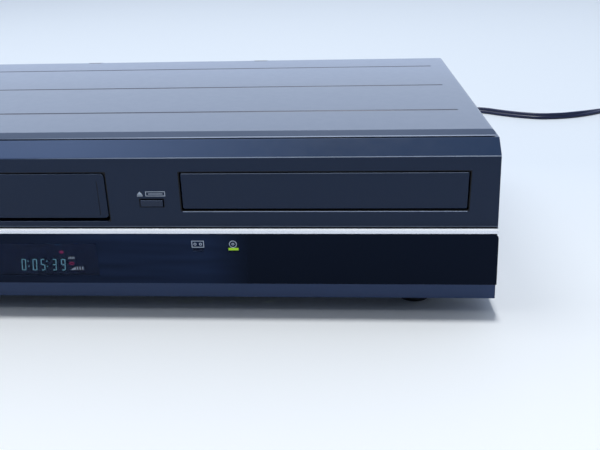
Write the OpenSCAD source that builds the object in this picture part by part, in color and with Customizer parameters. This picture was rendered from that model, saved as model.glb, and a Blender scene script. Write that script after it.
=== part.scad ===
// Disc and cassette recorder: a wide, low steel case with a moulded front, a cassette deck on
// the left and a disc loader on the right. Millimetres, +Z up, +Y towards the back panel, and
// the origin on the floor under the middle of the case.

/* [Case] */
// Width across the smoked front panel
case_w = 435; // [425:1:450]
// Depth from the front panel to the tips of the rear sockets
case_d = 240; // [232:1:260]
// Height with the feet
case_h = 99.5; // [96:0.5:112]
// Height of a foot
foot_h = 8; // [5:0.5:12]
// Radius of a foot
foot_r = 9; // [7:0.5:12]
// Thickness of the steel cover, pan and back panel
sheet = 1; // [0.8:0.1:1.4]
// How far the cover sides stand in from the widest line of the front
cover_inset = 5; // [4.5:0.5:8]
// How much wider the front grows on each side towards its foot
flare = 2.5; // [0:0.5:3]
// How far the pressed lines stop short of each side of the cover
bead_inset = 12.4; // [8:0.2:30]
// Distance between the pressed lines
bead_pitch = 70; // [50:1:74]
// Width of a pressed line
bead_w = 1.8; // [1.2:0.1:3]

/* [Front moulding] */
// Wall of the front moulding
wall = 2.5; // [2:0.1:3]
// Depth of the front moulding
bezel_d = 20.5; // [20:0.5:22]
// How far the sloped top edge falls back
slope_run = 8; // [5:0.5:10]
// Height of the sloped top edge
slope_h = 7.3; // [5:0.1:8.5]
// Height of the bottom lip
lip_h = 8.4; // [6:0.1:9.5]
// Height of the smoked panel
panel_h = 29.9; // [28:0.1:30.5]
// Thickness of the smoked panel
panel_t = 2; // [1.6:0.1:2.2]
// Height of the bright strip
strip_h = 3; // [2:0.1:3.5]
// How far the panel and strip stand in front of the face behind them
panel_step = 1.5; // [1.2:0.1:2]

/* [Openings in the face] */
// Width of the cassette opening
slot_w = 201; // [200:0.5:204]
// Height of the cassette opening
slot_h = 27.5; // [27:0.1:28]
// Height of the cassette opening above the bright strip
slot_rise = 3.7; // [2.5:0.1:4]
// Share of the moulding beside the two openings that lies left of the cassette opening
left_share = 0.30723; // [0.29:0.005:0.33]
// Width of the tray opening
tray_slot_w = 151; // [148:0.5:153]
// Height of the tray opening
tray_slot_h = 21.1; // [20:0.1:21.5]
// Share of that moulding that lies right of the tray opening
right_share = 0.213855; // [0.2:0.005:0.23]
// Clearance round the doors and keys
door_gap = 0.7; // [0.5:0.05:1]
// Travel of a key
key_travel = 1.2; // [0.8:0.1:1.5]

/* [Disc loader] */
// Width of the disc tray
tray_w = 134; // [130:1:136]
// Length of the disc tray
tray_l = 174; // [172:1:176]
// Thickness of the disc tray
tray_t = 6; // [5:0.5:6.5]
// Radius of the disc recess
disc_r = 60.6; // [60.5:0.1:61.5]
// Radius of the small disc recess
small_disc_r = 40.6; // [40.2:0.1:42]
// Radius of the turntable
turntable_r = 14.5; // [13:0.5:16]
// Teeth of the gear that drives the tray rack
tray_teeth = 24; // [20:2:26]
// Teeth of the large reduction gear
large_teeth = 32; // [28:2:34]
// Teeth of the small reduction gears
small_teeth = 16; // [16:2:18]

/* [Cassette deck] */
// Radius of the head drum
drum_r = 31; // [30:0.5:31.5]
// Lean of the head drum
drum_lean = 6; // [4:0.5:7]
// Distance between the reel tables
reel_pitch = 92; // [90:1:94]
// Radius of a reel table
reel_r = 15; // [12:0.5:18]
// Teeth of the cam gear
cam_teeth = 36; // [32:2:36]
// Inner width of the cassette holder
holder_w = 191; // [190:0.5:192]
// Length of the cassette holder
holder_l = 58; // [50:1:60]

/* [Sockets and cord] */
// Outer radius of an audio or video socket
jack_r = 4.15; // [4.1:0.05:4.3]
// Radius of the hole in an audio or video socket
jack_hole_r = 1.6; // [1.55:0.05:1.7]
// Length of an audio or video socket
jack_l = 9; // [8:0.5:9]
// Outer radius of an aerial socket
aerial_r = 4.7; // [4.6:0.05:4.8]
// Width of the flat mains cord
cord_w = 6.6; // [5.6:0.2:7]
// Thickness of the flat mains cord
cord_t = 3.4; // [3:0.1:3.6]

/* [Hidden] */
$fn = 48;

eps = 0.01;
gap = 0.3;          // running gap between separate pieces
pin_gap = 0.08;     // radial gap of a shaft in its bore
board_t = 1.6;      // printed boards
half_w = case_w / 2;
front_y = -case_d / 2;
face_y = front_y + panel_step;
rear_reach = jack_l + 0.5;
back_y = case_d / 2 - rear_reach;
bezel_back = face_y + bezel_d;
cover_x = half_w - cover_inset;
cover_in = cover_x - sheet;

// lines across the front, from the floor up
lip_z = foot_h + lip_h;
panel_z = lip_z + panel_h;
strip_z = panel_z + strip_h;
bezel_z = case_h - 3.5;
slope_z = bezel_z - slope_h;
lip_y = front_y + 0.3;
seat_y = front_y + panel_t;
plate_back = face_y + wall;
end_lap = 0.5;
function end_x(z) = half_w - end_lap - flare * (z - foot_h) / (slope_z - foot_h);

// cassette opening
side_w = case_w - slot_w - tray_slot_w;
left_w = side_w * left_share;
slot_x0 = -half_w + left_w;
slot_x1 = slot_x0 + slot_w;
slot_x = (slot_x0 + slot_x1) / 2;
slot_z0 = strip_z + slot_rise;
slot_z1 = slot_z0 + slot_h;
slot_r = 2;
door_t = 2;
door_axis_y = face_y + 6;
door_axis_z = slot_z1 + 5.6;
door_pin_r = 1.2;
door_boss_r = 2.2;
door_foot_gap = 1.9;

// tray opening, level with the top of the cassette opening
tray_z1 = slot_z1;
tray_z0 = tray_z1 - tray_slot_h;
tray_x1 = half_w - side_w * right_share;
tray_x0 = tray_x1 - tray_slot_w;
tray_x = (tray_x0 + tray_x1) / 2;

// pocket behind the flap, for the front sockets and the keys
bay_x0 = -half_w + 12;
bay_x1 = slot_x - 3.5;
bay_y = face_y + 11;
bay_z0 = lip_z + 1.9;
bay_z1 = panel_z - 1.6;
bay_wall = 2;
bay_back = bay_y + bay_wall;
flap_gap = 0.4;
flap_x0 = bay_x0 + 0.8;
flap_x1 = bay_x1 - 0.8;
flap_r = 3.5;
flap_z0 = bay_z0 + 0.8;
flap_z1 = bay_z1 - 1.1;
flap_axis_y = front_y + flap_r;
flap_axis_z = flap_z0 + flap_r;
flap_pin_r = 1;
flap_pin_l = 1.8;

// front board and the keys that press on it
board_y = bezel_back - 1 - board_t;
switch_h = 2;
flange_t = 0.8;
flange_lap = 1;
key_proud = 0.8;
key_w = left_w / 2;
key_h = 4.3;
tray_key_share = 0.6;
tray_key_x = slot_x1 + (tray_x0 - slot_x1) * tray_key_share;
tray_key_z = slot_z0 + 10.5;
side_key_x = -half_w + left_w / 2 + 2.2;
eject_key_z = slot_z0 + 6;
power_key_z = slot_z0 + 20;
power_key_r = 4.4;
bay_key_z = (bay_z0 + bay_z1) / 2 + 1.5;
bay_key_w = 9;
bay_key_h = 5;
bay_key_proud = 2.4;
front_jack_x = bay_x0 + 9;
bay_pitches = 8.5;
key_pitch = (bay_x1 - bay_x0) / bay_pitches;
stop_key_x = front_jack_x + 2 * key_pitch + 15;
rocker_x = bay_x1 - 12;
rocker_w = 8;
rocker_h = 15;
rocker_pin_r = 0.8;

// display and lamps
tube_x0 = bay_x1 + 17;
tube_w = 80;
tube_x1 = tube_x0 + tube_w;
tube_rim = 2;
tube_z0 = lip_z + 2;
tube_z1 = panel_z - 3.5;
lamp_z = panel_z - 9.4;
lamp_pitch = 19.2;
lamp_x = [tray_x0 + 7.25, tray_x0 + 7.25 + lamp_pitch];
lamp_w = 5.8;
lamp_h = 2.3;

// sheet-metal pan and cover
pan_z = foot_h + sheet;
pan_front = face_y + 8.5;
pan_half = cover_in - gap;
pan_flange = 8;
cover_z0 = pan_z + 0.3;
cover_lip = 3;
cover_front = face_y + slope_run + 0.6 + cover_lip;
tab_x = 68;
tab_w = 12;
tab_h = 12;
screw_r = 1.5;
head_r = 2.9;
head_t = 1.5;
foot_x = half_w - 42.5;
foot_ys = [pan_front + foot_r + 1, back_y - 24];
side_screw_ys = [-60, 80];
side_screw_z = pan_z + 5;
rear_screw_z = case_h - 6;

module box(x0, x1, y0, y1, z0, z1) {
    translate([x0, y0, z0])
        cube([x1 - x0, y1 - y0, z1 - z0]);
}

// a box given by its middle in x and z
module block(x, w, y0, y1, z, h) {
    box(x - w / 2, x + w / 2, y0, y1, z - h / 2, z + h / 2);
}

module post(x, y, z0, z1, r) {
    translate([x, y, z0])
        cylinder(h = z1 - z0, r = r);
}

module ring(x, y, z0, z1, r, bore_r) {
    difference() {
        post(x, y, z0, z1, r);
        post(x, y, z0 - 1, z1 + 1, bore_r);
    }
}

module rod_y(x, z, y0, y1, r) {
    translate([x, y1, z])
        rotate([90, 0, 0])
            cylinder(h = y1 - y0, r = r);
}

module rod_x(y, z, x0, x1, r) {
    translate([x0, y, z])
        rotate([0, 90, 0])
            cylinder(h = x1 - x0, r = r);
}

// a [y, z] outline drawn along X
module along_x(x0, x1) {
    translate([x0, 0, 0])
        rotate([90, 0, 90])
            linear_extrude(x1 - x0)
                children();
}

// an [x, z] outline drawn from y0 back to y1
module along_y(y0, y1) {
    translate([0, y1, 0])
        rotate([90, 0, 0])
            linear_extrude(y1 - y0)
                children();
}

// a rectangle with four round corners
module round_rect(x0, x1, z0, z1, r) {
    translate([x0 + r, z0])
        square([x1 - x0 - 2 * r, z1 - z0]);
    translate([x0, z0 + r])
        square([x1 - x0, z1 - z0 - 2 * r]);
    for (x = [x0 + r, x1 - r], z = [z0 + r, z1 - r])
        translate([x, z])
            circle(r = r, $fn = 32);
}

module both_sides() {
    children();
    mirror([1, 0, 0])
        children();
}

// involute gears, their teeth thinned a little so that a pair runs free
pressure = 20;
thin = 0.12;
function inv(a) = tan(a) * 180 / PI - a;
function base_r(teeth, m) = teeth * m / 2 * cos(pressure);
function roll(teeth, m, r) = r > base_r(teeth, m) ? inv(acos(base_r(teeth, m) / r)) : 0;
function flank(teeth, m, r) = 90 / teeth - thin / (teeth * m) * 180 / PI + inv(pressure) - roll(teeth, m, r);
function polar(r, a) = [r * cos(a), r * sin(a)];

module gear2d(teeth, m, turn = 0) {
    pitch_r = teeth * m / 2;
    radii = [pitch_r - 1.15 * m, pitch_r - 0.45 * m, pitch_r, pitch_r + 0.45 * m, pitch_r + 0.85 * m];
    last = len(radii) - 1;
    polygon([for (k = [0 : teeth - 1]) each concat(
        [for (i = [0 : last]) polar(radii[i], turn + 360 * k / teeth - flank(teeth, m, radii[i]))],
        [for (i = [0 : last]) polar(radii[last - i], turn + 360 * k / teeth + flank(teeth, m, radii[last - i]))])]);
}

// how far gear 2 is turned so that it meshes with gear 1, which lies the other way along dir
function mesh_turn(dir, n1, turn1, n2) = dir + 180 + ((dir - turn1) * n1 / 360 + 0.5) * 360 / n2;

// a rack along Y with teeth that face +X and a gap at y = 0
module rack2d(m, first, last, back) {
    step = PI * m;
    half = step / 4 - thin / 2;
    rise = 0.85 * m;
    fall = 1.15 * m;
    root = half + fall * tan(pressure);
    tip = half - rise * tan(pressure);
    polygon(concat(
        [[-back, step * first], [-fall, step * first]],
        [for (k = [first : last - 1]) let (y = step * (k + 0.5)) each
            [[-fall, y - root], [rise, y - tip], [rise, y + tip], [-fall, y + root]]],
        [[-fall, step * last], [-back, step * last]]));
}

// ---- steel case

module bottom_pan() {
    color("silver")
        difference() {
            union() {
                box(-pan_half, pan_half, pan_front, back_y, foot_h, pan_z);
                both_sides()
                    box(pan_half - sheet, pan_half, bezel_back + gap, back_y - sheet, foot_h, pan_z + pan_flange);
                for (p = main_posts)
                    post(p[0], p[1], foot_h, main_z, post_r);
                for (p = power_posts)
                    post(p[0], p[1], foot_h, power_z, post_r);
            }
            both_sides()
                for (y = side_screw_ys)
                    rod_x(y, side_screw_z, pan_half - 2 * sheet, pan_half + 1, screw_r);
            for (x = [-foot_x, foot_x], y = foot_ys)
                post(x, y, foot_h - 1, pan_z + 1, screw_r);
            // rows of cooling slots under the boards
            for (x = [vent_x0 : vent_pitch : vent_x0 + vent_count * vent_pitch])
                both_sides()
                    box(x, x + vent_w, vent_y0, vent_y0 + vent_l, foot_h - 1, pan_z + 1);
        }
}
vent_w = 3;
vent_l = 30;
vent_pitch = 7;
vent_x0 = 70;
vent_count = 12;
vent_y0 = -45;
post_r = 3;

module rear_panel() {
    color("silver")
        difference() {
            union() {
                box(-pan_half, pan_half, back_y - sheet, back_y, pan_z, case_h - sheet - gap);
                box(-pan_half, pan_half, back_y - 9, back_y - sheet / 2, case_h - 2 * sheet - gap, case_h - sheet - gap);
            }
            for (p = jack_spots)
                rod_y(p[0], p[1], back_y - 2, back_y + 1, jack_r + gap);
            for (z = din_zs)
                rod_y(din_x, z, back_y - 2, back_y + 1, din_r + gap);
            for (z = port_zs)
                block(port_x, port_w + 2 * gap, back_y - 2, back_y + 1, z, port_h + 2 * gap);
            for (z = aerial_zs)
                rod_y(aerial_x, z, back_y - 2, back_y + 1, aerial_r + gap);
            rod_y(relief_x, relief_z, back_y - 2, back_y + 1, relief_neck_r + pin_gap);
            both_sides()
                rod_y(tab_x, rear_screw_z, back_y - 2, back_y + 1, screw_r);
            // cooling slots above the power supply
            for (x = [rear_vent_x : vent_pitch : rear_vent_x + vent_count * vent_pitch])
                box(x, x + vent_w, back_y - 2, back_y + 1, rear_vent_z, rear_vent_z + 18);
        }
}
rear_vent_x = 92;
rear_vent_z = 50;

// the cover seen from its end
module cover_outline(x, top, r) {
    translate([-x, foot_h - 2])
        square([2 * x, top - r - foot_h + 2]);
    translate([-x + r, foot_h - 2])
        square([2 * x - 2 * r, top - foot_h + 2]);
    for (s = [-1, 1])
        translate([s * (x - r), top - r])
            circle(r = r, $fn = 32);
}
cover_r = 2;

module top_cover() {
    lip_back = cover_front - cover_lip + sheet * sqrt(2);
    color([0.16, 0.17, 0.19])
        difference() {
            union() {
                difference() {
                    intersection() {
                        along_y(cover_front - cover_lip, back_y)
                            cover_outline(cover_x, case_h, cover_r);
                        along_x(-half_w, half_w)
                            polygon([[cover_front - cover_lip, case_h - cover_lip], [cover_front, case_h],
                                [back_y, case_h], [back_y, cover_z0], [bezel_back + gap, cover_z0],
                                [bezel_back + gap, case_h - cover_lip]]);
                    }
                    intersection() {
                        along_y(cover_front - cover_lip - 1, back_y + 1)
                            cover_outline(cover_in, case_h - sheet, cover_r - sheet);
                        along_x(-half_w, half_w)
                            polygon([[lip_back, foot_h - 2], [lip_back, case_h - cover_lip],
                                [lip_back + cover_lip - sheet, case_h - sheet], [back_y + 1, case_h - sheet],
                                [back_y + 1, foot_h - 2]]);
                    }
                }
                // two tongues at the back, folded down over the rear panel
                both_sides() {
                    box(tab_x - tab_w / 2, tab_x + tab_w / 2, back_y, back_y + sheet, case_h - tab_h, case_h);
                    box(tab_x - tab_w / 2, tab_x + tab_w / 2, back_y - 1, back_y + sheet, case_h - sheet, case_h);
                }
            }
            both_sides() {
                rod_y(tab_x, rear_screw_z, back_y - 1, back_y + 3, screw_r + gap);
                for (y = side_screw_ys)
                    rod_x(y, side_screw_z, cover_in - 1, cover_x + 1, screw_r + gap);
            }
            for (y = bead_ys)
                along_x(-cover_x + bead_inset, cover_x - bead_inset)
                    polygon([[y - bead_w / 2, case_h + eps], [y, case_h - bead_depth], [y + bead_w / 2, case_h + eps]]);
        }
}
bead_depth = 0.5;
bead_mid = (cover_front + back_y) / 2 + 4;
bead_ys = [bead_mid - bead_pitch, bead_mid, bead_mid + bead_pitch];

module screw_x(y, z, x, l) {
    rod_x(y, z, x, x + head_t, head_r);
    rod_x(y, z, x - l, x + eps, screw_r - pin_gap);
}

module cover_screws() {
    color("dimgray") {
        both_sides() {
            for (y = side_screw_ys)
                screw_x(y, side_screw_z, cover_x, 4);
            rod_y(tab_x, rear_screw_z, back_y + sheet, back_y + sheet + head_t, head_r);
            rod_y(tab_x, rear_screw_z, back_y - 4, back_y + sheet + eps, screw_r - pin_gap);
        }
    }
}

module feet() {
    color([0.1, 0.1, 0.1])
        for (x = [-foot_x, foot_x], y = foot_ys) {
            post(x, y, 0, foot_h, foot_r);
            post(x, y, foot_h - eps, pan_z + 3, screw_r - pin_gap);
        }
}

// ---- moulded front

module bezel_solid(inset, back) {
    intersection() {
        along_x(-half_w - 1, half_w + 1)
            polygon(inset == 0
                ? [[lip_y, foot_h], [lip_y, lip_z], [seat_y, lip_z], [seat_y, panel_z], [face_y, panel_z],
                    [face_y, slope_z], [face_y + slope_run, bezel_z], [back, bezel_z], [back, foot_h]]
                : [[plate_back, foot_h + inset], [plate_back, slope_z - inset * 0.4],
                    [face_y + slope_run + inset * 0.4, bezel_z - inset], [back, bezel_z - inset],
                    [back, foot_h + inset]]);
        along_y(front_y - 1, back + 1)
            polygon([for (s = [-1, 1], z = [foot_h - 1, bezel_z + 1])
                let (h = s < 0 ? z : bezel_z + foot_h - z) [s * (end_x(h) - inset), h]]);
    }
}

module key_hole(x, z, w, h, y0, y1) {
    block(x, w, y0 - 1, y1 + 1, z, h);
}

module front_bezel() {
    color([0.12, 0.14, 0.18])
        difference() {
            union() {
                difference() {
                    bezel_solid(0, bezel_back);
                    bezel_solid(wall, bezel_back + 1);
                    // the floor of the moulding ends where the pan begins
                    box(-pan_half - gap, pan_half + gap, pan_front - gap, bezel_back + 1, foot_h - 1, foot_h + wall + 1);
                }
                // pocket behind the flap
                box(bay_x0 - bay_wall, bay_x1 + bay_wall, seat_y, bay_back, bay_z0 - bay_wall, bay_z1 + bay_wall);
                // pillars that carry the front board
                for (p = pillar_spots)
                    rod_y(p[0], p[1], plate_back - eps, board_y, pillar_r);
                // ears for the door pins
                for (x = [slot_x0 - 1, slot_x1 + 1 - ear_t])
                    box(x, x + ear_t, plate_back - eps, door_axis_y + 3, door_axis_z - 3, slope_z + 1);
            }
            along_y(face_y - 1, plate_back + 1)
                round_rect(slot_x0, slot_x1, slot_z0, slot_z1, slot_r);
            along_y(face_y - 1, plate_back + 1)
                round_rect(tray_x0, tray_x1, tray_z0, tray_z1, 0.8);
            box(bay_x0, bay_x1, front_y - 1, bay_y, bay_z0, bay_z1);
            for (x = [bay_x0 - bay_wall, bay_x1 - 1])
                rod_x(flap_axis_y, flap_axis_z, x + (x < bay_x0 ? 0.5 : 0), x + bay_wall + 0.5, flap_pin_r + pin_gap);
            for (x = [slot_x0 - 2, slot_x1 - ear_t])
                rod_x(door_axis_y, door_axis_z, x, x + ear_t + 2, door_pin_r + pin_gap);
            // display window and lamp holes
            tube_face(seat_y - 1, plate_back + 1, tube_rim);
            for (x = lamp_x)
                block(x, lamp_w + 2 * gap, seat_y - 1, plate_back + 1, lamp_z, lamp_h + 2 * gap);
            // key holes
            key_hole(tray_key_x, tray_key_z, key_w, key_h, face_y, plate_back);
            key_hole(side_key_x, eject_key_z, key_w, key_h, face_y, plate_back);
            rod_y(side_key_x, power_key_z, face_y - 1, plate_back + 1, power_key_r + gap);
            for (k = [0 : 2])
                key_hole(stop_key_x + k * key_pitch, bay_key_z, bay_key_w + 2 * gap, bay_key_h + 2 * gap, bay_y, bay_back);
            key_hole(rocker_x, bay_key_z, rocker_w + 2 * gap, rocker_h + 2 * rocker_swing, bay_y, bay_back);
            rod_x(rocker_y, bay_key_z, rocker_x - rocker_w / 2 - 2, rocker_x + rocker_w / 2 + 2, rocker_pin_r + pin_gap);
            for (k = [0 : 2])
                rod_y(front_jack_x + k * key_pitch, bay_key_z, bay_y - 1, bay_back + 1, jack_r + gap);
        }
}
ear_t = 2.5;
pillar_r = 3;
pillar_spots = [[tube_x0 - 8, lip_z + 8], [tube_x1 + 8, lip_z + 8], [lamp_x[1] + 12, lip_z + 8]];
rocker_swing = 0.9;
rocker_y = bay_y + bay_wall / 2;

module trim_strip() {
    color([0.82, 0.84, 0.86])
        intersection() {
            box(-half_w, half_w, front_y, face_y, panel_z, strip_z);
            along_y(front_y - 1, face_y + 1)
                polygon([[-end_x(panel_z), panel_z - 1], [end_x(panel_z), panel_z - 1],
                    [end_x(strip_z), strip_z + 1], [-end_x(strip_z), strip_z + 1]]);
        }
}

module display_window() {
    r = 3;
    x1 = end_x(panel_z) + end_lap;
    x0 = end_x(lip_z) + end_lap;
    color([0.03, 0.03, 0.04])
        difference() {
            along_y(front_y, seat_y)
                union() {
                    polygon([[-x0, lip_z], [x0, lip_z], [x1, panel_z - r], [-x1, panel_z - r]]);
                    polygon([[-x1 + r, lip_z], [x1 - r, lip_z], [x1 - r, panel_z], [-x1 + r, panel_z]]);
                    for (s = [-1, 1])
                        translate([s * (x1 - r), panel_z - r])
                            circle(r = r, $fn = 32);
                }
            box(flap_x0 - flap_gap, flap_x1 + flap_gap, front_y - 1, seat_y + 1, flap_z0 - flap_gap, flap_z1 + flap_gap);
        }
}

module front_flap() {
    color([0.03, 0.03, 0.04]) {
        box(flap_x0, flap_x1, front_y, front_y + door_t, flap_axis_z, flap_z1);
        rod_x(flap_axis_y, flap_axis_z, flap_x0, flap_x1, flap_r);
        rod_x(flap_axis_y, flap_axis_z, flap_x0 - flap_pin_l, flap_x1 + flap_pin_l, flap_pin_r);
    }
}

// the tube's outline from y0 back to y1, a rim smaller all round
module tube_face(y0, y1, rim) {
    box(tube_x0 + rim, tube_x1 - rim, y0, y1, tube_z0 + rim, tube_z1 - rim);
}

module display_module() {
    color([0.25, 0.4, 0.4]) {
        tube_face(plate_back + 2, plate_back + 9, 0);
        // its face stands in the moulding's window, right behind the smoked panel
        tube_face(seat_y + gap, plate_back + 3, tube_rim + gap);
        // the tube's foil and pins reach back to the board
        for (z = [tube_z0 + 1, tube_z1 - 2])
            box(tube_x0 + 4, tube_x1 - 4, plate_back + 8, board_y, z, z + 1);
    }
}

module led_lenses() {
    color([0.75, 0.8, 0.75])
        for (x = lamp_x) {
            block(x, lamp_w, seat_y + gap, board_y, lamp_z, lamp_h);
            block(x, lamp_w + 2, board_y - 3, board_y, lamp_z, lamp_h + 2);
        }
}

module tact(x, z) {
    block(x, 6, board_y - switch_h, board_y + eps, z, 4);
}

module front_board() {
    color([0.1, 0.35, 0.2]) {
        difference() {
            union() {
                box(-half_w + 8, lamp_x[1] + 18, board_y, board_y + board_t, pan_z + 3, panel_z - 1);
                box(tray_key_x - 9, tray_key_x + 9, board_y, board_y + board_t, panel_z - 2, tray_key_z + 8);
                box(-half_w + 8, side_key_x + 8, board_y, board_y + board_t, panel_z - 2, power_key_z + 8);
            }
            for (p = pillar_spots)
                rod_y(p[0], p[1], board_y - 1, board_y + board_t + 1, 1);
        }
        tact(tray_key_x, tray_key_z);
        tact(side_key_x, eject_key_z);
        tact(side_key_x, power_key_z);
        for (k = [0 : 2])
            tact(stop_key_x + k * key_pitch, bay_key_z);
        for (s = [-1, 1])
            tact(rocker_x, bay_key_z + s * 5.5);
    }
}

module front_jacks() {
    for (k = [0 : 2])
        color(["gold", "white", "firebrick"][k])
            difference() {
                x = front_jack_x + k * key_pitch;
                union() {
                    rod_y(x, bay_key_z, bay_y - 7.5, bay_back + 1, jack_r);
                    block(x, 10, bay_back + 0.3, board_y, bay_key_z, 12);
                }
                rod_y(x, bay_key_z, bay_y - 8, bay_back, jack_hole_r);
            }
}

// a key: its cap, the flange that keeps it in, and the stem that reaches the switch
module key(x, z, w, h, front, wall_back) {
    stem_end = board_y - switch_h - key_travel - 0.4;
    block(x, w, front, wall_back + gap + eps, z, h);
    block(x, w + 2 * flange_lap, wall_back + gap, wall_back + gap + flange_t, z, h + 2 * flange_lap);
    rod_y(x, z, wall_back + gap, max(stem_end, wall_back + gap + flange_t), 1.2);
}

module tray_eject_button() {
    color([0.14, 0.16, 0.2])
        key(tray_key_x, tray_key_z, key_w - 2 * key_gap, key_h - 2 * key_gap, face_y - key_proud, plate_back);
}

module cassette_eject_button() {
    color([0.14, 0.16, 0.2])
        key(side_key_x, eject_key_z, key_w - 2 * key_gap, key_h - 2 * key_gap, face_y - key_proud, plate_back);
}
key_gap = 0.4;

module power_button() {
    color([0.7, 0.72, 0.74]) {
        rod_y(side_key_x, power_key_z, face_y - key_proud, plate_back + gap + eps, power_key_r);
        rod_y(side_key_x, power_key_z, plate_back + gap, plate_back + gap + flange_t, power_key_r + flange_lap);
        rod_y(side_key_x, power_key_z, plate_back + gap, board_y - switch_h - key_travel - 0.4, 1.2);
    }
}

module bay_key(k) {
    color([0.2, 0.21, 0.24])
        key(stop_key_x + k * key_pitch, bay_key_z, bay_key_w, bay_key_h, bay_y - bay_key_proud, bay_back);
}

module stop_button() {
    bay_key(0);
}

module play_button() {
    bay_key(1);
}

module record_button() {
    bay_key(2);
}

module channel_rocker() {
    color([0.2, 0.21, 0.24]) {
        block(rocker_x, rocker_w, bay_y - bay_key_proud, bay_back, bay_key_z, rocker_h);
        rod_x(rocker_y, bay_key_z, rocker_x - rocker_w / 2 - 1.5, rocker_x + rocker_w / 2 + 1.5, rocker_pin_r);
    }
}

module cassette_door() {
    z0 = slot_z0 + door_foot_gap;
    z1 = slot_z1 - door_gap;
    y0 = face_y + 0.3;
    color([0.12, 0.14, 0.18]) {
        along_y(y0, y0 + door_t)
            round_rect(slot_x0 + door_gap, slot_x1 - door_gap, z0, z1, slot_r);
        // two arms rise behind the front to the pins
        for (x = [slot_x0 + 4, slot_x1 - 4 - ear_t])
            along_x(x, x + ear_t)
                union() {
                    polygon([[y0 + 0.5, z1 - 6], [y0 + door_t + 2, z1 - 6], [door_axis_y + door_boss_r, door_axis_z],
                        [door_axis_y - door_boss_r, door_axis_z], [door_axis_y - door_boss_r, slot_z1 - 1],
                        [y0 + 0.5, slot_z1 - 1]]);
                    translate([door_axis_y, door_axis_z])
                        circle(r = door_boss_r);
                }
        for (x = [slot_x0 - 0.4, slot_x1 - 4 - ear_t])
            rod_x(door_axis_y, door_axis_z, x, x + 4.4 + ear_t, door_pin_r);
    }
}

// ---- boards, sockets and cord

main_z = pan_z + 4;
power_z = pan_z + 4;
main_x0 = -pan_half + 6;
main_x1 = tray_x - 78.25;
main_y0 = 8;
main_y1 = back_y - 10;
main_posts = [for (x = [main_x0 + 5, slot_x, main_x1 - 5], y = [main_y0 + 5, main_y1 - 5]) [x, y]];
jack_pitch = 14;
jack_zs = [26, 42];
jack_xs = [for (k = [0 : 5]) main_x0 + 13 + k * jack_pitch + (k > 2 ? 4 : 0)];
jack_spots = [for (x = jack_xs, z = jack_zs) [x, z]];
din_x = jack_xs[5] + 20;
din_zs = jack_zs;
din_r = 4.7;
port_x = din_x + 22;
port_zs = jack_zs;
port_w = 20;
port_h = 9;
aerial_zs = [26, 46];
block_z1 = 52;

chip_w = 22;
chip_t = 2.2;
chip_pitch = 34;
cap_r = 3;
cap_h = 8;
cap_pitch = 9;

module chip(x, y, z) {
    box(x - chip_w / 2, x + chip_w / 2, y - chip_w / 2, y + chip_w / 2, z - eps, z + chip_t);
}

module main_board() {
    top = main_z + board_t;
    color([0.1, 0.35, 0.2]) {
        difference() {
            box(main_x0, main_x1, main_y0, main_y1, main_z, top);
            for (x = [slot_x - leg_x, slot_x + leg_x])
                post(x, deck_leg_ys[1], main_z - 1, top + 1, leg_r + 1);
        }
        for (k = [0 : 2])
            chip(main_x0 + 30 + k * chip_pitch, main_y0 + 26, top);
        for (k = [0 : 5])
            post(main_x0 + 14 + k * cap_pitch, main_y0 + 60, top - eps, top + cap_h, cap_r);
        // screened tuner, its sockets at the back
        box(can_x0, can_x1, main_y0 + 34, back_y - sheet - gap, top - eps, block_z1 + 4);
    }
}

// a component on the power board, placed from the board's front left corner
module on_power(x, y, w, l, h) {
    top = power_z + board_t;
    box(power_x0 + x, power_x0 + x + w, power_y0 + y, power_y0 + y + l, top - eps, top + h);
}

module can(x, y, h, r) {
    top = power_z + board_t;
    post(power_x0 + x, power_y0 + y, top - eps, top + h, r);
}

module power_supply() {
    color([0.55, 0.45, 0.2]) {
        box(power_x0, power_x1, power_y0, power_y1, power_z, power_z + board_t);
        on_power(transformer_x, transformer_y, transformer_w, transformer_l, tall_h);
        for (k = [0 : 1])
            can(big_can_x, transformer_y - 20 + big_can_pitch * k, tall_h + 1, big_can_r);
        for (k = [0 : 3])
            can(small_can_x, transformer_y + 10 + small_can_pitch * k, tall_h - 4, small_can_r);
        // finned heat sinks
        for (x = sink_xs) {
            for (k = [0 : fins - 1])
                on_power(x, sink_y + fin_pitch * k, fin_t, fin_w, tall_h);
            on_power(x - fin_t * 2, sink_y, fin_t * 5, fin_pitch * (fins - 1) + fin_w, fin_t * 2);
        }
        // input filter, and a fuse between its two clips
        on_power(fuse_x, sink_y + 8, fuse_l, fuse_l + 2, 16);
        rod_x(power_y0 + fuse_y, power_z + board_t + 4, power_x0 + fuse_x, power_x0 + fuse_x + fuse_l, fuse_r);
        for (x = [fuse_x, fuse_x + fuse_l - clip_w])
            on_power(x, fuse_y - clip_w, clip_w, 2 * clip_w, 4);
    }
}
power_x0 = main_x1 + 18;
power_w = 122;
power_x1 = power_x0 + power_w;
power_y0 = -78;
power_l = 140;
power_y1 = power_y0 + power_l;
tall_h = 24;
transformer_x = 46;
transformer_y = 50;
transformer_w = 34;
transformer_l = 28;
big_can_x = power_w - 18;
big_can_r = 11;
big_can_pitch = 26;
small_can_x = 14;
small_can_r = 6;
small_can_pitch = 16;
sink_xs = [30, power_w - 34];
sink_y = 88;
fins = 6;
fin_t = 1.5;
fin_w = 4;
fin_pitch = 6;
fuse_x = power_w - 22;
fuse_y = 84;
fuse_l = 20;
fuse_r = 2.6;
clip_w = 3;
power_posts = [for (x = [power_x0 + 5, power_x1 - 5], y = [power_y0 + 5, power_y1 - 5]) [x, y]];

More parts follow.
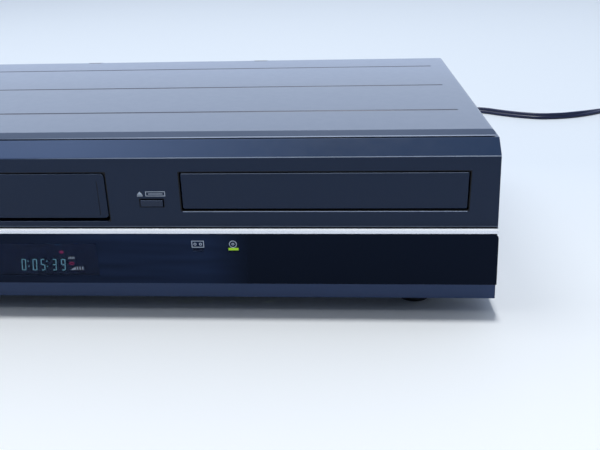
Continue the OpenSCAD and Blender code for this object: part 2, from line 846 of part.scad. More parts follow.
module rear_jacks() {
    color([0.85, 0.75, 0.3])
        difference() {
            union() {
                // the moulded block that stands on the main board
                box(jack_xs[0] - 8, port_x + port_w / 2 + 2, deck_y1 + 1, back_y - sheet - gap, main_z + board_t, block_z1);
                for (p = jack_spots)
                    rod_y(p[0], p[1], back_y - 3, back_y + rear_reach, jack_r);
                for (z = din_zs)
                    rod_y(din_x, z, back_y - 3, back_y + 1, din_r);
                for (z = port_zs)
                    block(port_x, port_w, back_y - 3, back_y + 1, z, port_h);
            }
            for (p = jack_spots)
                rod_y(p[0], p[1], back_y + rear_reach - jack_l, back_y + rear_reach + 1, jack_hole_r);
            for (z = din_zs)
                rod_y(din_x, z, back_y - 4, back_y + 2, din_r - 1);
            for (z = port_zs)
                block(port_x, port_w - 2, back_y - 4, back_y + 2, z, port_h - 2);
        }
}

module antenna_sockets() {
    color("silver")
        for (z = aerial_zs)
            difference() {
                rod_y(aerial_x, z, back_y - sheet - gap, back_y + rear_reach, aerial_r);
                rod_y(aerial_x, z, back_y, back_y + rear_reach + 1, aerial_hole_r);
            }
}
aerial_hole_r = 1.2;

relief_x = 165;
relief_z = 24;
relief_neck_r = 5;
relief_l = 24;
relief_tip_r = 4.2;

module strain_relief() {
    color([0.08, 0.08, 0.08])
        difference() {
            union() {
                rod_y(relief_x, relief_z, back_y - sheet - 3, back_y + 1, relief_neck_r);
                rod_y(relief_x, relief_z, back_y - sheet - 3, back_y - sheet - gap, relief_neck_r + 1.5);
                rod_y(relief_x, relief_z, back_y + gap, back_y + 2.5, relief_neck_r + 2);
                translate([relief_x, back_y + 2.5 - eps, relief_z])
                    rotate([-90, 0, 0])
                        cylinder(h = relief_l - 2.5 + eps, r1 = relief_neck_r, r2 = relief_tip_r);
            }
            // flexing grooves round the tail
            for (k = [1 : 3])
                ring_cut(relief_x, relief_z, back_y + 2.5 + 5 * k, 1.6, relief_tip_r - 0.6, relief_neck_r + 1);
        }
}

module ring_cut(x, z, y, w, r0, r1) {
    difference() {
        rod_y(x, z, y, y + w, r1);
        rod_y(x, z, y - 1, y + w + 1, r0);
    }
}

plug_x = 510;
plug_y1 = 254;
plug_l = 30;
plug_w = 22;
plug_t = 14;
plug_z = plug_t / 2;
blade_l = 17;
blade_pitch = 12.7;

// the lead falls from the rear panel and lies along the table
cord_z = cord_t / 2;
cord_top_z = 1.5 * cord_t;
lead_route = [
    [relief_x, back_y + relief_l, relief_z], [165, 142, 24], [165, 150, 23.3], [165.3, 158, 21.2],
    [166, 166, 17.6], [167, 174, 12.9], [168.3, 182, 8.2], [170, 190, 4.6], [172, 198, 2.6],
    [174.4, 206, 1.9], [177, 214, cord_z], [183, 228, cord_z], [190, 242, cord_z],
    [198, 256, cord_z], [207.5, 270, cord_z], [218, 284, cord_z], [229.5, 298, cord_z],
    [241, 312, cord_z], [253, 325, cord_z], [265, 334, cord_z], [278, 338, cord_z],
    [292, 334.5, cord_z], [305, 325.5, cord_z], [319, 316.5, cord_z], [333, 310, cord_z],
    [348, 305.5, cord_z], [363, 306, cord_z], [379, 309.5, cord_z], [398.5, 318, cord_z],
    [419, 331.5, cord_z], [435, 342.5, cord_z], [450, 352.5, cord_z]];
tail_route = [
    [510, 317, cord_top_z], [510, 307, cord_top_z], [510, 297, cord_top_z], [510, 287, 5],
    [510, 277, 4.6], [510, 268, 4.8], [510, 261, 5.8], [510, plug_y1, plug_z]];
coil_x = 474;
coil_y = 317;
coil_r0 = 26.2;
coil_turns = 3;

function unit(v) = v / norm(v);
function heading(route, i) = unit(route[min(i + 1, len(route) - 1)] - route[max(i - 1, 0)]);
function cord_ring(p, t) =
    let (side = unit(cross(t, [0, 0, 1])), up = cross(side, t), k = 1 / cos(22.5))
    [for (i = [0 : 7]) p + side * cord_w / 2 * k * cos(22.5 + 45 * i) + up * cord_t / 2 * k * sin(22.5 + 45 * i)];

module swept_cord(route) {
    n = len(route);
    rings = [for (i = [0 : n - 1]) each cord_ring(route[i], heading(route, i))];
    walls = [for (i = [0 : n - 2], j = [0 : 7]) let (a = 8 * i + j, b = 8 * i + (j + 1) % 8) [a, a + 8, b + 8, b]];
    polyhedron(rings, concat(walls, [[for (j = [0 : 7]) j]], [[for (j = [0 : 7]) 8 * n - 1 - j]]), convexity = 8);
}

module mains_cord() {
    color([0.08, 0.08, 0.08]) {
        swept_cord(lead_route);
        swept_cord(tail_route);
    }
}

module cord_coil() {
    color([0.08, 0.08, 0.08])
        translate([coil_x, coil_y, 0])
            rotate_extrude($fn = 64)
                translate([coil_r0, 0])
                    square([coil_turns * cord_w, 2 * cord_t]);
}

module mains_plug() {
    y0 = plug_y1 - plug_l;
    color([0.08, 0.08, 0.08]) {
        linear_extrude(plug_t)
            polygon([[plug_x - plug_w / 2, y0], [plug_x + plug_w / 2, y0], [plug_x + plug_w / 2, plug_y1 - 12],
                [plug_x + 5, plug_y1], [plug_x - 5, plug_y1], [plug_x - plug_w / 2, plug_y1 - 12]]);
        for (s = [-1, 1])
            block(plug_x + s * blade_pitch / 2, 1.5, y0 - blade_l, y0 + 5, plug_z, 6.3);
    }
}

// ---- cassette deck

deck_z = 26;
deck_t = 1.2;
deck_top = deck_z + deck_t;
door_reach = norm([door_axis_y - face_y - 0.3, door_axis_z - slot_z0 - door_foot_gap]);
holder_y0 = door_axis_y + door_reach + 1.5;
holder_in = 41;
holder_down = 22;
holder_t = 0.8;
holder_z0 = slot_z0 + 0.3;
holder_z1 = holder_z0 + 26.2;
holder_half = holder_w / 2;
ledge_w = 7;
guide_pin_r = 2;
guide_slot = 2 * guide_pin_r + 0.6;
slider_x = holder_half + holder_t + 0.7;
slider_t = 1.2;
slider_y0 = holder_y0 + 4;
slider_l = 46;
slider_z1 = holder_z1 + 4.5;
side_x = slider_x + slider_t + 0.4;
side_t = 1.2;
// the tuner fills the way between the deck and the end of the main board
can_x0 = slot_x + side_x + side_t + 4.7;
can_x1 = main_x1 - 5;
aerial_x = (can_x0 + can_x1) / 2;
pin_z = holder_z0 + 12;
slider_z0 = pin_z - holder_down - guide_slot / 2 - 3;
pin_ys = [slider_y0 + 6, slider_y0 + slider_l - 6];
deck_y0 = holder_y0 - 3;
drum_y = back_y - 56.5;
deck_y1 = drum_y + drum_r + 2.5;
leg_x = 88;
leg_r = 4;
deck_leg_ys = [deck_y0 + 10, deck_y1 - 8];
drum_z = deck_top + 6;
drum_low_h = 18;
drum_up_h = 20;
drum_gap = 0.4;
drum_shaft_r = 3;
capstan_x = slot_x + 62;
capstan_y = drum_y - 24;
capstan_r = 1.5;
fly_r = 17;
fly_z0 = main_z + board_t + 3;
fly_z1 = deck_z - 2;
capstan_top = deck_top + 32;
bearing_r = 4;
pinch_pivot = [slot_x + 84, drum_y - 30];
pinch_roller_r = 6;
pinch_arm_l = 18;
pinch_rest = 222;
pinch_z = deck_top + 5;
pinch_pin_r = 1.5;
reel_y = face_y + 80.5;
reel_z = deck_top + 1;
carriage_x = 45;
carriage_y0 = drum_y - 40;
carriage_in = 50;
carriage_w = 11;
cam_x = slot_x + 76;
cam_y = drum_y + 12;
cam_m = 1;
cam_r = cam_teeth * cam_m / 2;
cam_z = deck_top + 1;
loading_teeth = 12;
loading_dir = 135;
loading_reach = cam_r + loading_teeth * cam_m / 2;
loading_x = cam_x + loading_reach * cos(loading_dir);
loading_y = cam_y + loading_reach * sin(loading_dir);
motor_shaft_r = 1.2;
loading_motor_r = 8;
coil_half = 12;
tension_pivot = [slot_x - 82, drum_y - 46];

module deck_side() {
    // a side plate staked to the deck's edge, with the L-shaped slots of the holder
    difference() {
        box(side_x, side_x + side_t, holder_y0, holder_y0 + slider_l + holder_in + 12, deck_z, slider_z1);
        box(side_x - 1, side_x + side_t + 1, pin_ys[0] - guide_slot / 2, pin_ys[1] + holder_in + guide_slot / 2,
            pin_z - guide_slot / 2, pin_z + guide_slot / 2);
        for (y = pin_ys)
            box(side_x - 1, side_x + side_t + 1, y + holder_in - guide_slot / 2, y + holder_in + guide_slot / 2,
                pin_z - holder_down - guide_slot / 2, pin_z);
    }
}

module deck_chassis() {
    color([0.72, 0.73, 0.75])
        difference() {
            union() {
                box(slot_x - side_x + pin_gap, slot_x + side_x - pin_gap, deck_y0, deck_y1, deck_z, deck_top);
                for (x = [slot_x - leg_x, slot_x + leg_x], y = deck_leg_ys)
                    post(x, y, pan_z, deck_z + eps, leg_r);
                ring(capstan_x, capstan_y, deck_z, deck_top + 4, bearing_r, capstan_r + pin_gap);
            }
            // the tape guides' slots
            for (s = [-1, 1])
                box(slot_x + s * carriage_x - 2.6, slot_x + s * carriage_x + 2.6, carriage_y0 - 4,
                    carriage_y0 + carriage_in + 4, deck_z - 1, deck_top + 1);
            post(capstan_x, capstan_y, deck_z - 1, deck_top + 5, capstan_r + pin_gap);
            post(slot_x, drum_y, deck_z - 1, deck_top + 1, 14);
            post(loading_x, loading_y, deck_z - 1, deck_top + 1, 3);
            for (p = pins)
                post(p[0], p[1], deck_z - 1, deck_top + 1, p[3] + pin_gap);
            // lightening windows
            for (s = [-1, 1])
                box(slot_x + s * 40 - 20, slot_x + s * 40 + 20, deck_y0 + 6, reel_y - reel_r - 4, deck_z - 1, deck_top + 1);
        }
    color([0.72, 0.73, 0.75])
        translate([slot_x, 0, 0])
            both_sides()
                deck_side();
    // steel pins of the reels, cam gear and two arms, riveted in from below
    color("silver")
        for (p = pins) {
            post(p[0], p[1], deck_z - rivet_t, p[2], p[3]);
            post(p[0], p[1], deck_z - rivet_t, deck_z - pin_gap, p[3] + rivet_lap);
        }
}
reel_shaft_r = 2;
shaft_r = 2;
rivet_t = 0.8;
rivet_lap = 1.2;
pins = [
    for (s = [-1, 1])
        [slot_x + s * reel_pitch / 2, reel_y, deck_top + 12, reel_shaft_r],
    [cam_x, cam_y, cam_z + 6, shaft_r],
    [pinch_pivot[0], pinch_pivot[1], pinch_z + 5, shaft_r],
    [tension_pivot[0], tension_pivot[1], deck_top + 7, shaft_r]];

// things on the drum lean with it
module on_drum() {
    translate([slot_x, drum_y, drum_z])
        rotate([-drum_lean, 0, 0])
            children();
}

module drum_base() {
    color("silver") {
        on_drum()
            difference() {
                union() {
                    cylinder(h = drum_low_h, r = drum_r, $fn = 96);
                    translate([0, 0, -4])
                        cylinder(h = 5, r = 12);
                }
                translate([0, 0, -5])
                    cylinder(h = drum_low_h + 6, r = drum_shaft_r + pin_gap);
            }
        // three feet carry the leaning drum on the chassis
        for (a = [90, 210, 330])
            difference() {
                post(slot_x + 23 * cos(a), drum_y + 23 * sin(a), deck_top, drum_z + 8, 4);
                on_drum()
                    translate([0, 0, 2])
                        cylinder(h = 40, r = drum_r + 1);
            }
    }
}

module drum_rotor() {
    color([0.85, 0.86, 0.88])
        on_drum()
            difference() {
                union() {
                    translate([0, 0, drum_low_h + drum_gap])
                        cylinder(h = drum_up_h, r = drum_r, $fn = 96);
                    translate([0, 0, 1])
                        cylinder(h = drum_low_h, r = drum_shaft_r);
                    for (a = [0, 180])
                        rotate([0, 0, a])
                            translate([drum_r - 3, -1, drum_low_h + drum_gap])
                                cube([3.05, 2, 1.2]);
                }
                translate([0, 0, drum_low_h + drum_gap + drum_up_h - 3])
                    difference() {
                        cylinder(h = 4, r = drum_r - 4);
                        translate([0, 0, -1])
                            cylinder(h = 6, r = 9);
                    }
                for (a = [0 : 60 : 300])
                    rotate([0, 0, a])
                        translate([17, 0, drum_low_h + drum_gap + 8])
                            cylinder(h = drum_up_h, r = 3.2);
            }
}

module deck_motors() {
    color([0.6, 0.6, 0.62]) {
        // loading motor, hung under the chassis with its shaft upwards
        post(loading_x, loading_y, main_z + board_t + 2, deck_z, loading_motor_r);
        post(loading_x, loading_y, deck_z - 1, cam_z + 7.5, motor_shaft_r);
        // coil plate of the capstan motor, under the chassis
        difference() {
            box(capstan_x - coil_half, capstan_x + coil_half, capstan_y - coil_half - 2, capstan_y + coil_half + 2,
                fly_z1 + 2 * gap, deck_z);
            post(capstan_x, capstan_y, fly_z1 - 1, deck_z + 1, bearing_r);
        }
    }
}

module head_block(x, y) {
    post(x, y, deck_top, deck_top + head_rise + 2, 2.5);
    box(x - head_w / 2, x + head_w / 2, y - head_l / 2, y + head_l / 2, deck_top + head_rise, deck_top + head_rise + head_h);
}
head_x = 62;
head_w = 8;
head_l = 9;
head_h = 18;
head_rise = 6;

module tape_heads() {
    color([0.75, 0.75, 0.78]) {
        head_block(capstan_x, capstan_y + 12);
        head_block(slot_x - head_x, capstan_y);
    }
}

module capstan() {
    color([0.85, 0.86, 0.88]) {
        post(capstan_x, capstan_y, fly_z0, capstan_top, capstan_r);
        post(capstan_x, capstan_y, fly_z0, fly_z1, fly_r);
    }
}

function pinch_end(a) = [pinch_pivot[0] + pinch_arm_l * cos(a), pinch_pivot[1] + pinch_arm_l * sin(a)];
pinch_tip = pinch_end(pinch_rest);

module pinch_arm() {
    color([0.7, 0.7, 0.72]) {
        difference() {
            union() {
                post(pinch_pivot[0], pinch_pivot[1], deck_top + gap, pinch_z, shaft_r + 1.5);
                translate([pinch_pivot[0], pinch_pivot[1], pinch_z - 2.2])
                    rotate([0, 0, pinch_rest])
                        translate([0, -2.5, 0])
                            cube([pinch_arm_l, 5, 2]);
                post(pinch_tip[0], pinch_tip[1], pinch_z - 2.4, pinch_z, 3.2);
            }
            post(pinch_pivot[0], pinch_pivot[1], deck_top - 1, pinch_z + 1, shaft_r + pin_gap);
        }
        post(pinch_tip[0], pinch_tip[1], pinch_z - 1, pinch_z + 16, pinch_pin_r);
    }
}

module pinch_roller() {
    color([0.15, 0.15, 0.15])
        ring(pinch_tip[0], pinch_tip[1], pinch_z + gap, pinch_z + 15, pinch_roller_r, pinch_pin_r + pin_gap);
}

module reel_table(x) {
    difference() {
        union() {
            post(x, reel_y, reel_z, reel_z + 3, reel_r);
            post(x, reel_y, reel_z + 2, deck_top + 10, 5);
            for (a = [30, 150, 270])
                translate([x, reel_y, reel_z + 2])
                    rotate([0, 0, a])
                        translate([4, -0.9, 0])
                            cube([3, 1.8, 7]);
            translate([x, reel_y, reel_z + 0.5])
                linear_extrude(2)
                    gear2d(reel_teeth, reel_m);
        }
        post(x, reel_y, reel_z - 1, deck_top + 14, reel_shaft_r + pin_gap);
    }
}
reel_m = 0.8;
reel_teeth = 2 * round(reel_r / reel_m) + 2;

module supply_reel() {
    color([0.85, 0.85, 0.83])
        reel_table(slot_x - reel_pitch / 2);
}

module takeup_reel() {
    color([0.85, 0.85, 0.83])
        reel_table(slot_x + reel_pitch / 2);
}

module tension_arm() {
    l = 26;
    a = -12;
    tip = [tension_pivot[0] + l * cos(a), tension_pivot[1] + l * sin(a)];
    color([0.7, 0.7, 0.72]) {
        difference() {
            union() {
                post(tension_pivot[0], tension_pivot[1], deck_top + gap, deck_top + 5, shaft_r + 1.3);
                translate([tension_pivot[0], tension_pivot[1], deck_top + 2])
                    rotate([0, 0, a])
                        translate([0, -1.5, 0])
                            cube([l, 3, 1.5]);
            }
            post(tension_pivot[0], tension_pivot[1], deck_top - 1, deck_top + 6, shaft_r + pin_gap);
        }
        post(tip[0], tip[1], deck_top + 2, deck_top + 24, 1.5);
    }
}

module carriage(x) {
    box(x - carriage_w / 2, x + carriage_w / 2, carriage_y0 - 5, carriage_y0 + 5, deck_top + gap, deck_top + 3.5);
    box(x - 2.2, x + 2.2, carriage_y0 - 3, carriage_y0 + 3, deck_z - 1, deck_top + 1);
    // upright guide roller and slanted post
    post(x, carriage_y0 + 1, deck_top + 3, deck_top + 24, 2.4);
    post(x, carriage_y0 + 1, deck_top + 24 - eps, deck_top + 26, 3.4);
    post(x, carriage_y0 - 3.2, deck_top + 3, deck_top + 22, 1);
}

module guide_carriage_left() {
    color([0.75, 0.75, 0.78])
        carriage(slot_x - carriage_x);
}

module guide_carriage_right() {
    color([0.75, 0.75, 0.78])
        carriage(slot_x + carriage_x);
}

module holder_slider() {
    color([0.3, 0.31, 0.34])
        translate([slot_x, 0, 0]) {
            both_sides()
                difference() {
                    box(slider_x, slider_x + slider_t, slider_y0, slider_y0 + slider_l, slider_z0, slider_z1);
                    for (y = pin_ys)
                        box(slider_x - 1, slider_x + slider_t + 1, y - guide_slot / 2, y + guide_slot / 2,
                            pin_z - holder_down - guide_slot / 2, pin_z + guide_slot / 2);
                }
            // bar across the top
            box(-slider_x - slider_t, slider_x + slider_t, slider_y0 + 8, slider_y0 + 20, slider_z1 - 1.2, slider_z1);
        }
}

module cassette_holder() {
    color([0.55, 0.56, 0.58])
        translate([slot_x, 0, 0]) {
            y1 = holder_y0 + holder_l;
            box(-holder_half - holder_t, holder_half + holder_t, holder_y0, y1, holder_z1, holder_z1 + holder_t);
            both_sides() {
                box(holder_half, holder_half + holder_t, holder_y0, y1, holder_z0 - holder_t, holder_z1 + holder_t);
                box(holder_half - ledge_w, holder_half + holder_t, holder_y0, y1, holder_z0 - holder_t, holder_z0);
                for (y = pin_ys)
                    rod_x(y, pin_z, holder_half, side_x - gap, guide_pin_r);
            }
        }
}

module cam_gear() {
    color([0.9, 0.9, 0.88])
        difference() {
            union() {
                translate([cam_x, cam_y, cam_z])
                    linear_extrude(4)
                        gear2d(cam_teeth, cam_m);
                post(cam_x, cam_y, cam_z, cam_z + 5, 6);
            }
            post(cam_x, cam_y, cam_z - 1, cam_z + 7, shaft_r + pin_gap);
            // track on its face
            translate([cam_x, cam_y, cam_z + 2.5])
                difference() {
                    cylinder(h = 2, r = 14);
                    translate([0, 0, -1])
                        cylinder(h = 4, r = 11);
                }
        }
}

module loading_pinion() {
    color([0.9, 0.9, 0.88])
        difference() {
            union() {
                translate([loading_x, loading_y, cam_z])
                    linear_extrude(5)
                        gear2d(loading_teeth, cam_m, mesh_turn(loading_dir, cam_teeth, 0, loading_teeth));
                post(loading_x, loading_y, cam_z + 5 - eps, cam_z + 7, 5);
            }
            post(loading_x, loading_y, cam_z - 1, cam_z + 9, motor_shaft_r + pin_gap);
        }
}

// ---- disc loader

tray_y0 = face_y + 0.3 + door_t;
tray_y1 = tray_y0 + tray_l;
tray_z = tray_z0 + 4.6;
tray_top = tray_z + tray_t;
disc_y = tray_y0 + disc_r + 6.5;
tray_half = tray_w / 2;
tray_slot_half = turntable_r + 5;
wall_in = tray_half + 0.5;
wall_out = wall_in + 2;
loader_y0 = tray_y0 + 12.2;
loader_y1 = tray_y1 + 8.2;
loader_z = tray_z - 18;
loader_floor = loader_z + 2;
bridge_z = tray_top + 6;
bridge_w = 40;
bridge_t = 1.5;
loader_leg_x = wall_out + 0.5;
loader_leg_ys = [loader_y0 + 10, loader_y1 - 10];
rack_line = tray_x - tray_half + 7;
tray_m = 1;
pinion_r = tray_teeth * tray_m / 2;
large_r = large_teeth * tray_m / 2;
small_r = small_teeth * tray_m / 2;
pinion_at = [rack_line + pinion_r, loader_y0 + 20];
pulley_at = [pinion_at[0] + large_r + small_r, pinion_at[1]];
motor_at = [pulley_at[0] + 32, pinion_at[1]];
train_z = loader_floor + 7;
rack_z = tray_z - 3.2;
pulley_r = 13;
belt_r = 12;
small_belt_r = 3.2;
belt_z = loader_floor + 3;
belt_t = 0.9;
hub_z = loader_floor + gap;
plate_z = tray_z - 9;
plate_t = 2;
plate_half = 42;
plate_y0 = disc_y - 17;
plate_y1 = disc_y + 93;
pivot_y = plate_y1 - 4;
pivot_z = plate_z + plate_t / 2;
pivot_r = 1.5;
spindle_r = 1;
spindle_motor_r = 13;
spindle_motor_h = 6;
rod_half = tray_slot_half + 3.5;
rod_r = 1.5;
rod_z = plate_z + 3.5;
sled_y0 = disc_y + turntable_r + 1.1;
sled_l = 23;
sled_travel = 34;
lens_y = disc_y + 24;
rods_y0 = disc_y + 9;
rods_y1 = disc_y + 83;
sled_m = 0.6;
sled_teeth = 20;
sled_r = sled_teeth * sled_m / 2;
sled_rack_x = tray_x + rod_half + 5;
sled_gear_at = [sled_rack_x + sled_r, disc_y + 51];
table_z = tray_top - 1.7;

module loader_frame() {
    color([0.13, 0.13, 0.14])
        difference() {
            union() {
                box(tray_x - wall_out, tray_x + wall_out, loader_y0, loader_y1, loader_z, loader_floor);
                for (s = [-1, 1]) {
                    translate([tray_x, 0, 0])
                        mirror([s < 0 ? 1 : 0, 0, 0]) {
                            box(wall_in, wall_out, loader_y0, loader_y1, loader_z, bridge_z);
                            // runners under and over the edge of the tray
                            box(wall_in - 3.7, wall_out, loader_y0, loader_y1, tray_z - 2, tray_z - gap);
                            box(wall_in - 3, wall_out, loader_y0, loader_y1, tray_top + gap, tray_top + 1.5);
                            // bearing of the tilting plate
                            box(plate_half + 2.5, plate_half + 5.5, pivot_y - 4, pivot_y + 4, loader_z, pivot_z + 4);
                            for (y = loader_leg_ys)
                                post(loader_leg_x, y, pan_z, loader_z + 8, leg_r);
                        }
                }
                box(tray_x - wall_out, tray_x + wall_out, loader_y0, loader_y0 + 2, loader_z, tray_z - 6);
                box(tray_x - wall_out, tray_x + wall_out, loader_y1 - 2, loader_y1, loader_z, tray_z - 2);
                post(pinion_at[0], pinion_at[1], loader_z, rack_z + 3, shaft_r);
                post(pulley_at[0], pulley_at[1], loader_z, train_z + 4, shaft_r);
            }
            box(tray_x - plate_half - 2, tray_x + plate_half + 2, plate_y0 - 2, pivot_y + 10, loader_z - 1, loader_floor + 1);
            rod_x(pivot_y, pivot_z, tray_x - plate_half - 6, tray_x + plate_half + 6, pivot_r + pin_gap);
            post(motor_at[0], motor_at[1], loader_z - 1, loader_floor + 1, tray_motor_r + gap);
        }
}
tray_motor_r = 10;

module clamp_bridge() {
    color("silver")
        difference() {
            union() {
                box(tray_x - wall_out, tray_x + wall_out, disc_y - bridge_w / 2, disc_y + bridge_w / 2, bridge_z, bridge_z + bridge_t);
                for (s = [-1, 1])
                    box(tray_x - wall_out, tray_x + wall_out, disc_y + s * (bridge_w / 2 - 0.5) - 0.5,
                        disc_y + s * (bridge_w / 2 - 0.5) + 0.5, bridge_z, bridge_z + 4);
            }
            post(tray_x, disc_y, bridge_z - 1, bridge_z + bridge_t + 1, puck_neck_r + 1);
        }
}
puck_neck_r = 9;
puck_r = 13;

module clamp_puck() {
    color([0.2, 0.2, 0.21])
        union() {
            post(tray_x, disc_y, tray_top + 1.5, bridge_z - 1, puck_r);
            post(tray_x, disc_y, bridge_z - 2, bridge_z + bridge_t + gap + 0.5, puck_neck_r);
            post(tray_x, disc_y, bridge_z + bridge_t + gap, bridge_z + bridge_t + gap + 1.2, puck_r - 0.5);
        }
}

module disc_tray() {
    color([0.14, 0.14, 0.15])
        difference() {
            union() {
                box(tray_x - tray_half, tray_x + tray_half, tray_y0, tray_y1, tray_z, tray_top);
                translate([rack_line, pinion_at[1], rack_z])
                    linear_extrude(tray_z - rack_z + 0.5)
                        rack2d(tray_m, -2, floor((tray_y1 - 3 - pinion_at[1]) / (PI * tray_m)), 2.6);
            }
            post(tray_x, disc_y, tray_top - 3, tray_top + 1, disc_r);
            post(tray_x, disc_y, tray_top - 4.2, tray_top, small_disc_r);
            // the way for the turntable and the pick-up, open at the back
            box(tray_x - tray_slot_half, tray_x + tray_slot_half, disc_y - turntable_r - 2.5, tray_y1 + 1, tray_z - 1, tray_top + 1);
            // finger cut at the front of the recess
            post(tray_x, tray_y0 + 2, tray_z + 2, tray_top + 1, 14);
        }
}

module tray_front() {
    y0 = tray_y0 - door_t;
    color([0.13, 0.15, 0.2]) {
        along_y(y0, tray_y0)
            round_rect(tray_x0 + door_gap, tray_x1 - door_gap, tray_z0 + door_gap, tray_z1 - door_gap, 0.8);
        for (x = [tray_x - 50, tray_x + 50])
            block(x, 12, tray_y0 - 1, tray_y0 + 6, tray_z - 1.2 - gap, 2.4);
    }
}

module tray_pinion() {
    x = pinion_at[0];
    y = pinion_at[1];
    color([0.9, 0.9, 0.88])
        difference() {
            union() {
                translate([x, y, rack_z - 0.3])
                    linear_extrude(3)
                        gear2d(tray_teeth, tray_m);
                translate([x, y, train_z])
                    linear_extrude(3)
                        gear2d(large_teeth, tray_m);
                post(x, y, hub_z, rack_z, 5);
            }
            post(x, y, hub_z - 1, rack_z + 5, shaft_r + pin_gap);
        }
}

module pulley_gear() {
    x = pulley_at[0];
    y = pulley_at[1];
    color([0.9, 0.9, 0.88])
        difference() {
            union() {
                translate([x, y, train_z])
                    linear_extrude(3)
                        gear2d(small_teeth, tray_m, mesh_turn(0, large_teeth, 0, small_teeth));
                post(x, y, hub_z, train_z + 1, 5);
                post(x, y, belt_z - 1, belt_z, pulley_r);
                post(x, y, belt_z - 1, belt_z + 2.5, belt_r - 0.1);
                post(x, y, belt_z + 1.5, belt_z + 2.5, pulley_r);
            }
            post(x, y, hub_z - 1, train_z + 5, shaft_r + pin_gap);
        }
}

module motor_pulley() {
    x = motor_at[0];
    y = motor_at[1];
    color("goldenrod")
        difference() {
            union() {
                post(x, y, belt_z - 1, belt_z, small_belt_r + 1);
                post(x, y, belt_z - 1, belt_z + 2.5, small_belt_r - 0.1);
                post(x, y, belt_z + 1.5, belt_z + 2.5, small_belt_r + 1);
            }
            post(x, y, belt_z - 2, belt_z + 4, spindle_r + pin_gap);
        }
}

module belt_outline(grow) {
    d = motor_at[0] - pulley_at[0];
    a = acos((belt_r - small_belt_r) / d);
    r0 = belt_r + grow;
    r1 = small_belt_r + grow;
    circle(r = r0, $fn = 64);
    translate([d, 0])
        circle(r = r1);
    polygon([[r0 * cos(a), r0 * sin(a)], [r0 * cos(a), -r0 * sin(a)], [d + r1 * cos(a), -r1 * sin(a)],
        [d + r1 * cos(a), r1 * sin(a)]]);
}

module tray_belt() {
    color([0.1, 0.1, 0.1])
        translate([pulley_at[0], pulley_at[1], belt_z + 0.2])
            linear_extrude(1.1)
                difference() {
                    belt_outline(belt_t);
                    belt_outline(0);
                }
}

module tray_motor() {
    color([0.65, 0.66, 0.68]) {
        post(motor_at[0], motor_at[1], loader_z - 13, loader_floor, tray_motor_r);
        post(motor_at[0], motor_at[1], loader_floor, loader_floor + 1, tray_motor_r + 2);
        post(motor_at[0], motor_at[1], loader_floor, belt_z + 3, spindle_r);
    }
}

module traverse_plate() {
    color([0.5, 0.51, 0.53])
        difference() {
            union() {
                difference() {
                    box(tray_x - plate_half, tray_x + plate_half, plate_y0, plate_y1, plate_z, plate_z + plate_t);
                    box(tray_x - rod_half - 6, tray_x + rod_half + 3.2, sled_y0 - 1, rods_y1 - 4, plate_z - 1, plate_z + plate_t + 1);
                }
                // spindle motor under the plate, its shaft through it
                post(tray_x, disc_y, plate_z - spindle_motor_h, plate_z + eps, spindle_motor_r);
                post(tray_x, disc_y, plate_z - spindle_motor_h, table_z, spindle_r);
                for (s = [-1, 1]) {
                    rod_y(tray_x + s * rod_half, rod_z, rods_y0, rods_y1, rod_r);
                    for (y = [rods_y0, rods_y1 - 4])
                        block(tray_x + s * rod_half, 4.6, y, y + 4, plate_z + 3.2, 5);
                    rod_x(pivot_y, pivot_z, s < 0 ? tray_x - plate_half - 4.5 : tray_x + plate_half - 1,
                        s < 0 ? tray_x - plate_half + 1 : tray_x + plate_half + 4.5, pivot_r);
                }
                post(sled_gear_at[0], sled_gear_at[1], plate_z, rod_z + 3, 1);
            }
        }
}

module turntable() {
    color([0.12, 0.12, 0.13])
        difference() {
            union() {
                post(tray_x, disc_y, table_z - 2, table_z, turntable_r);
                post(tray_x, disc_y, plate_z + plate_t + 1, table_z, 5);
                translate([tray_x, disc_y, table_z - eps])
                    cylinder(h = 2.2, r1 = 7.4, r2 = 6.4);
            }
            post(tray_x, disc_y, plate_z, table_z + eps * 2, spindle_r + pin_gap);
        }
}

module pickup_sled() {
    top = tray_z - 1.2;
    color([0.35, 0.36, 0.4])
        difference() {
            union() {
                box(tray_x - rod_half - 2.6, tray_x + rod_half + 2.6, sled_y0, sled_y0 + sled_l, rod_z - 3, rod_z + 3);
                box(tray_x - 15, tray_x + 15, sled_y0 + 1, sled_y0 + sled_l - 1, rod_z - 8, top);
                post(tray_x, lens_y, top - eps, top + 2, 4);
                translate([sled_rack_x, sled_gear_at[1], rod_z - 1.2])
                    linear_extrude(2)
                        rack2d(sled_m, floor(-(sled_travel + 2) / (PI * sled_m)), 1, sled_rack_x - tray_x - rod_half - 2.5);
            }
            for (s = [-1, 1])
                rod_y(tray_x + s * rod_half, rod_z, sled_y0 - 1, sled_y0 + sled_l + 1, rod_r + pin_gap);
        }
}

module sled_gear() {
    color([0.9, 0.9, 0.88])
        translate([sled_gear_at[0], sled_gear_at[1], plate_z + plate_t + 0.3])
            difference() {
                linear_extrude(3.2)
                    gear2d(sled_teeth, sled_m);
                translate([0, 0, -1])
                    cylinder(h = 6, r = 1 + pin_gap);
            }
}

bottom_pan();
rear_panel();
top_cover();
front_bezel();
trim_strip();
display_window();
display_module();
led_lenses();
front_board();
front_jacks();
feet();
cover_screws();
main_board();
power_supply();
rear_jacks();
antenna_sockets();
deck_chassis();
drum_base();
deck_motors();
tape_heads();
loader_frame();
clamp_bridge();
tray_motor();
tray_belt();
strain_relief();
mains_cord();
cord_coil();
mains_plug();
front_flap();
cassette_door();
disc_tray();
tray_front();
tray_eject_button();
cassette_eject_button();
power_button();
stop_button();
play_button();
record_button();
channel_rocker();
tray_pinion();
pulley_gear();
motor_pulley();
traverse_plate();
turntable();
pickup_sled();
sled_gear();
clamp_puck();
drum_rotor();
capstan();
pinch_arm();
pinch_roller();
supply_reel();
takeup_reel();
tension_arm();
guide_carriage_left();
guide_carriage_right();
holder_slider();
cassette_holder();
cam_gear();
loading_pinion();
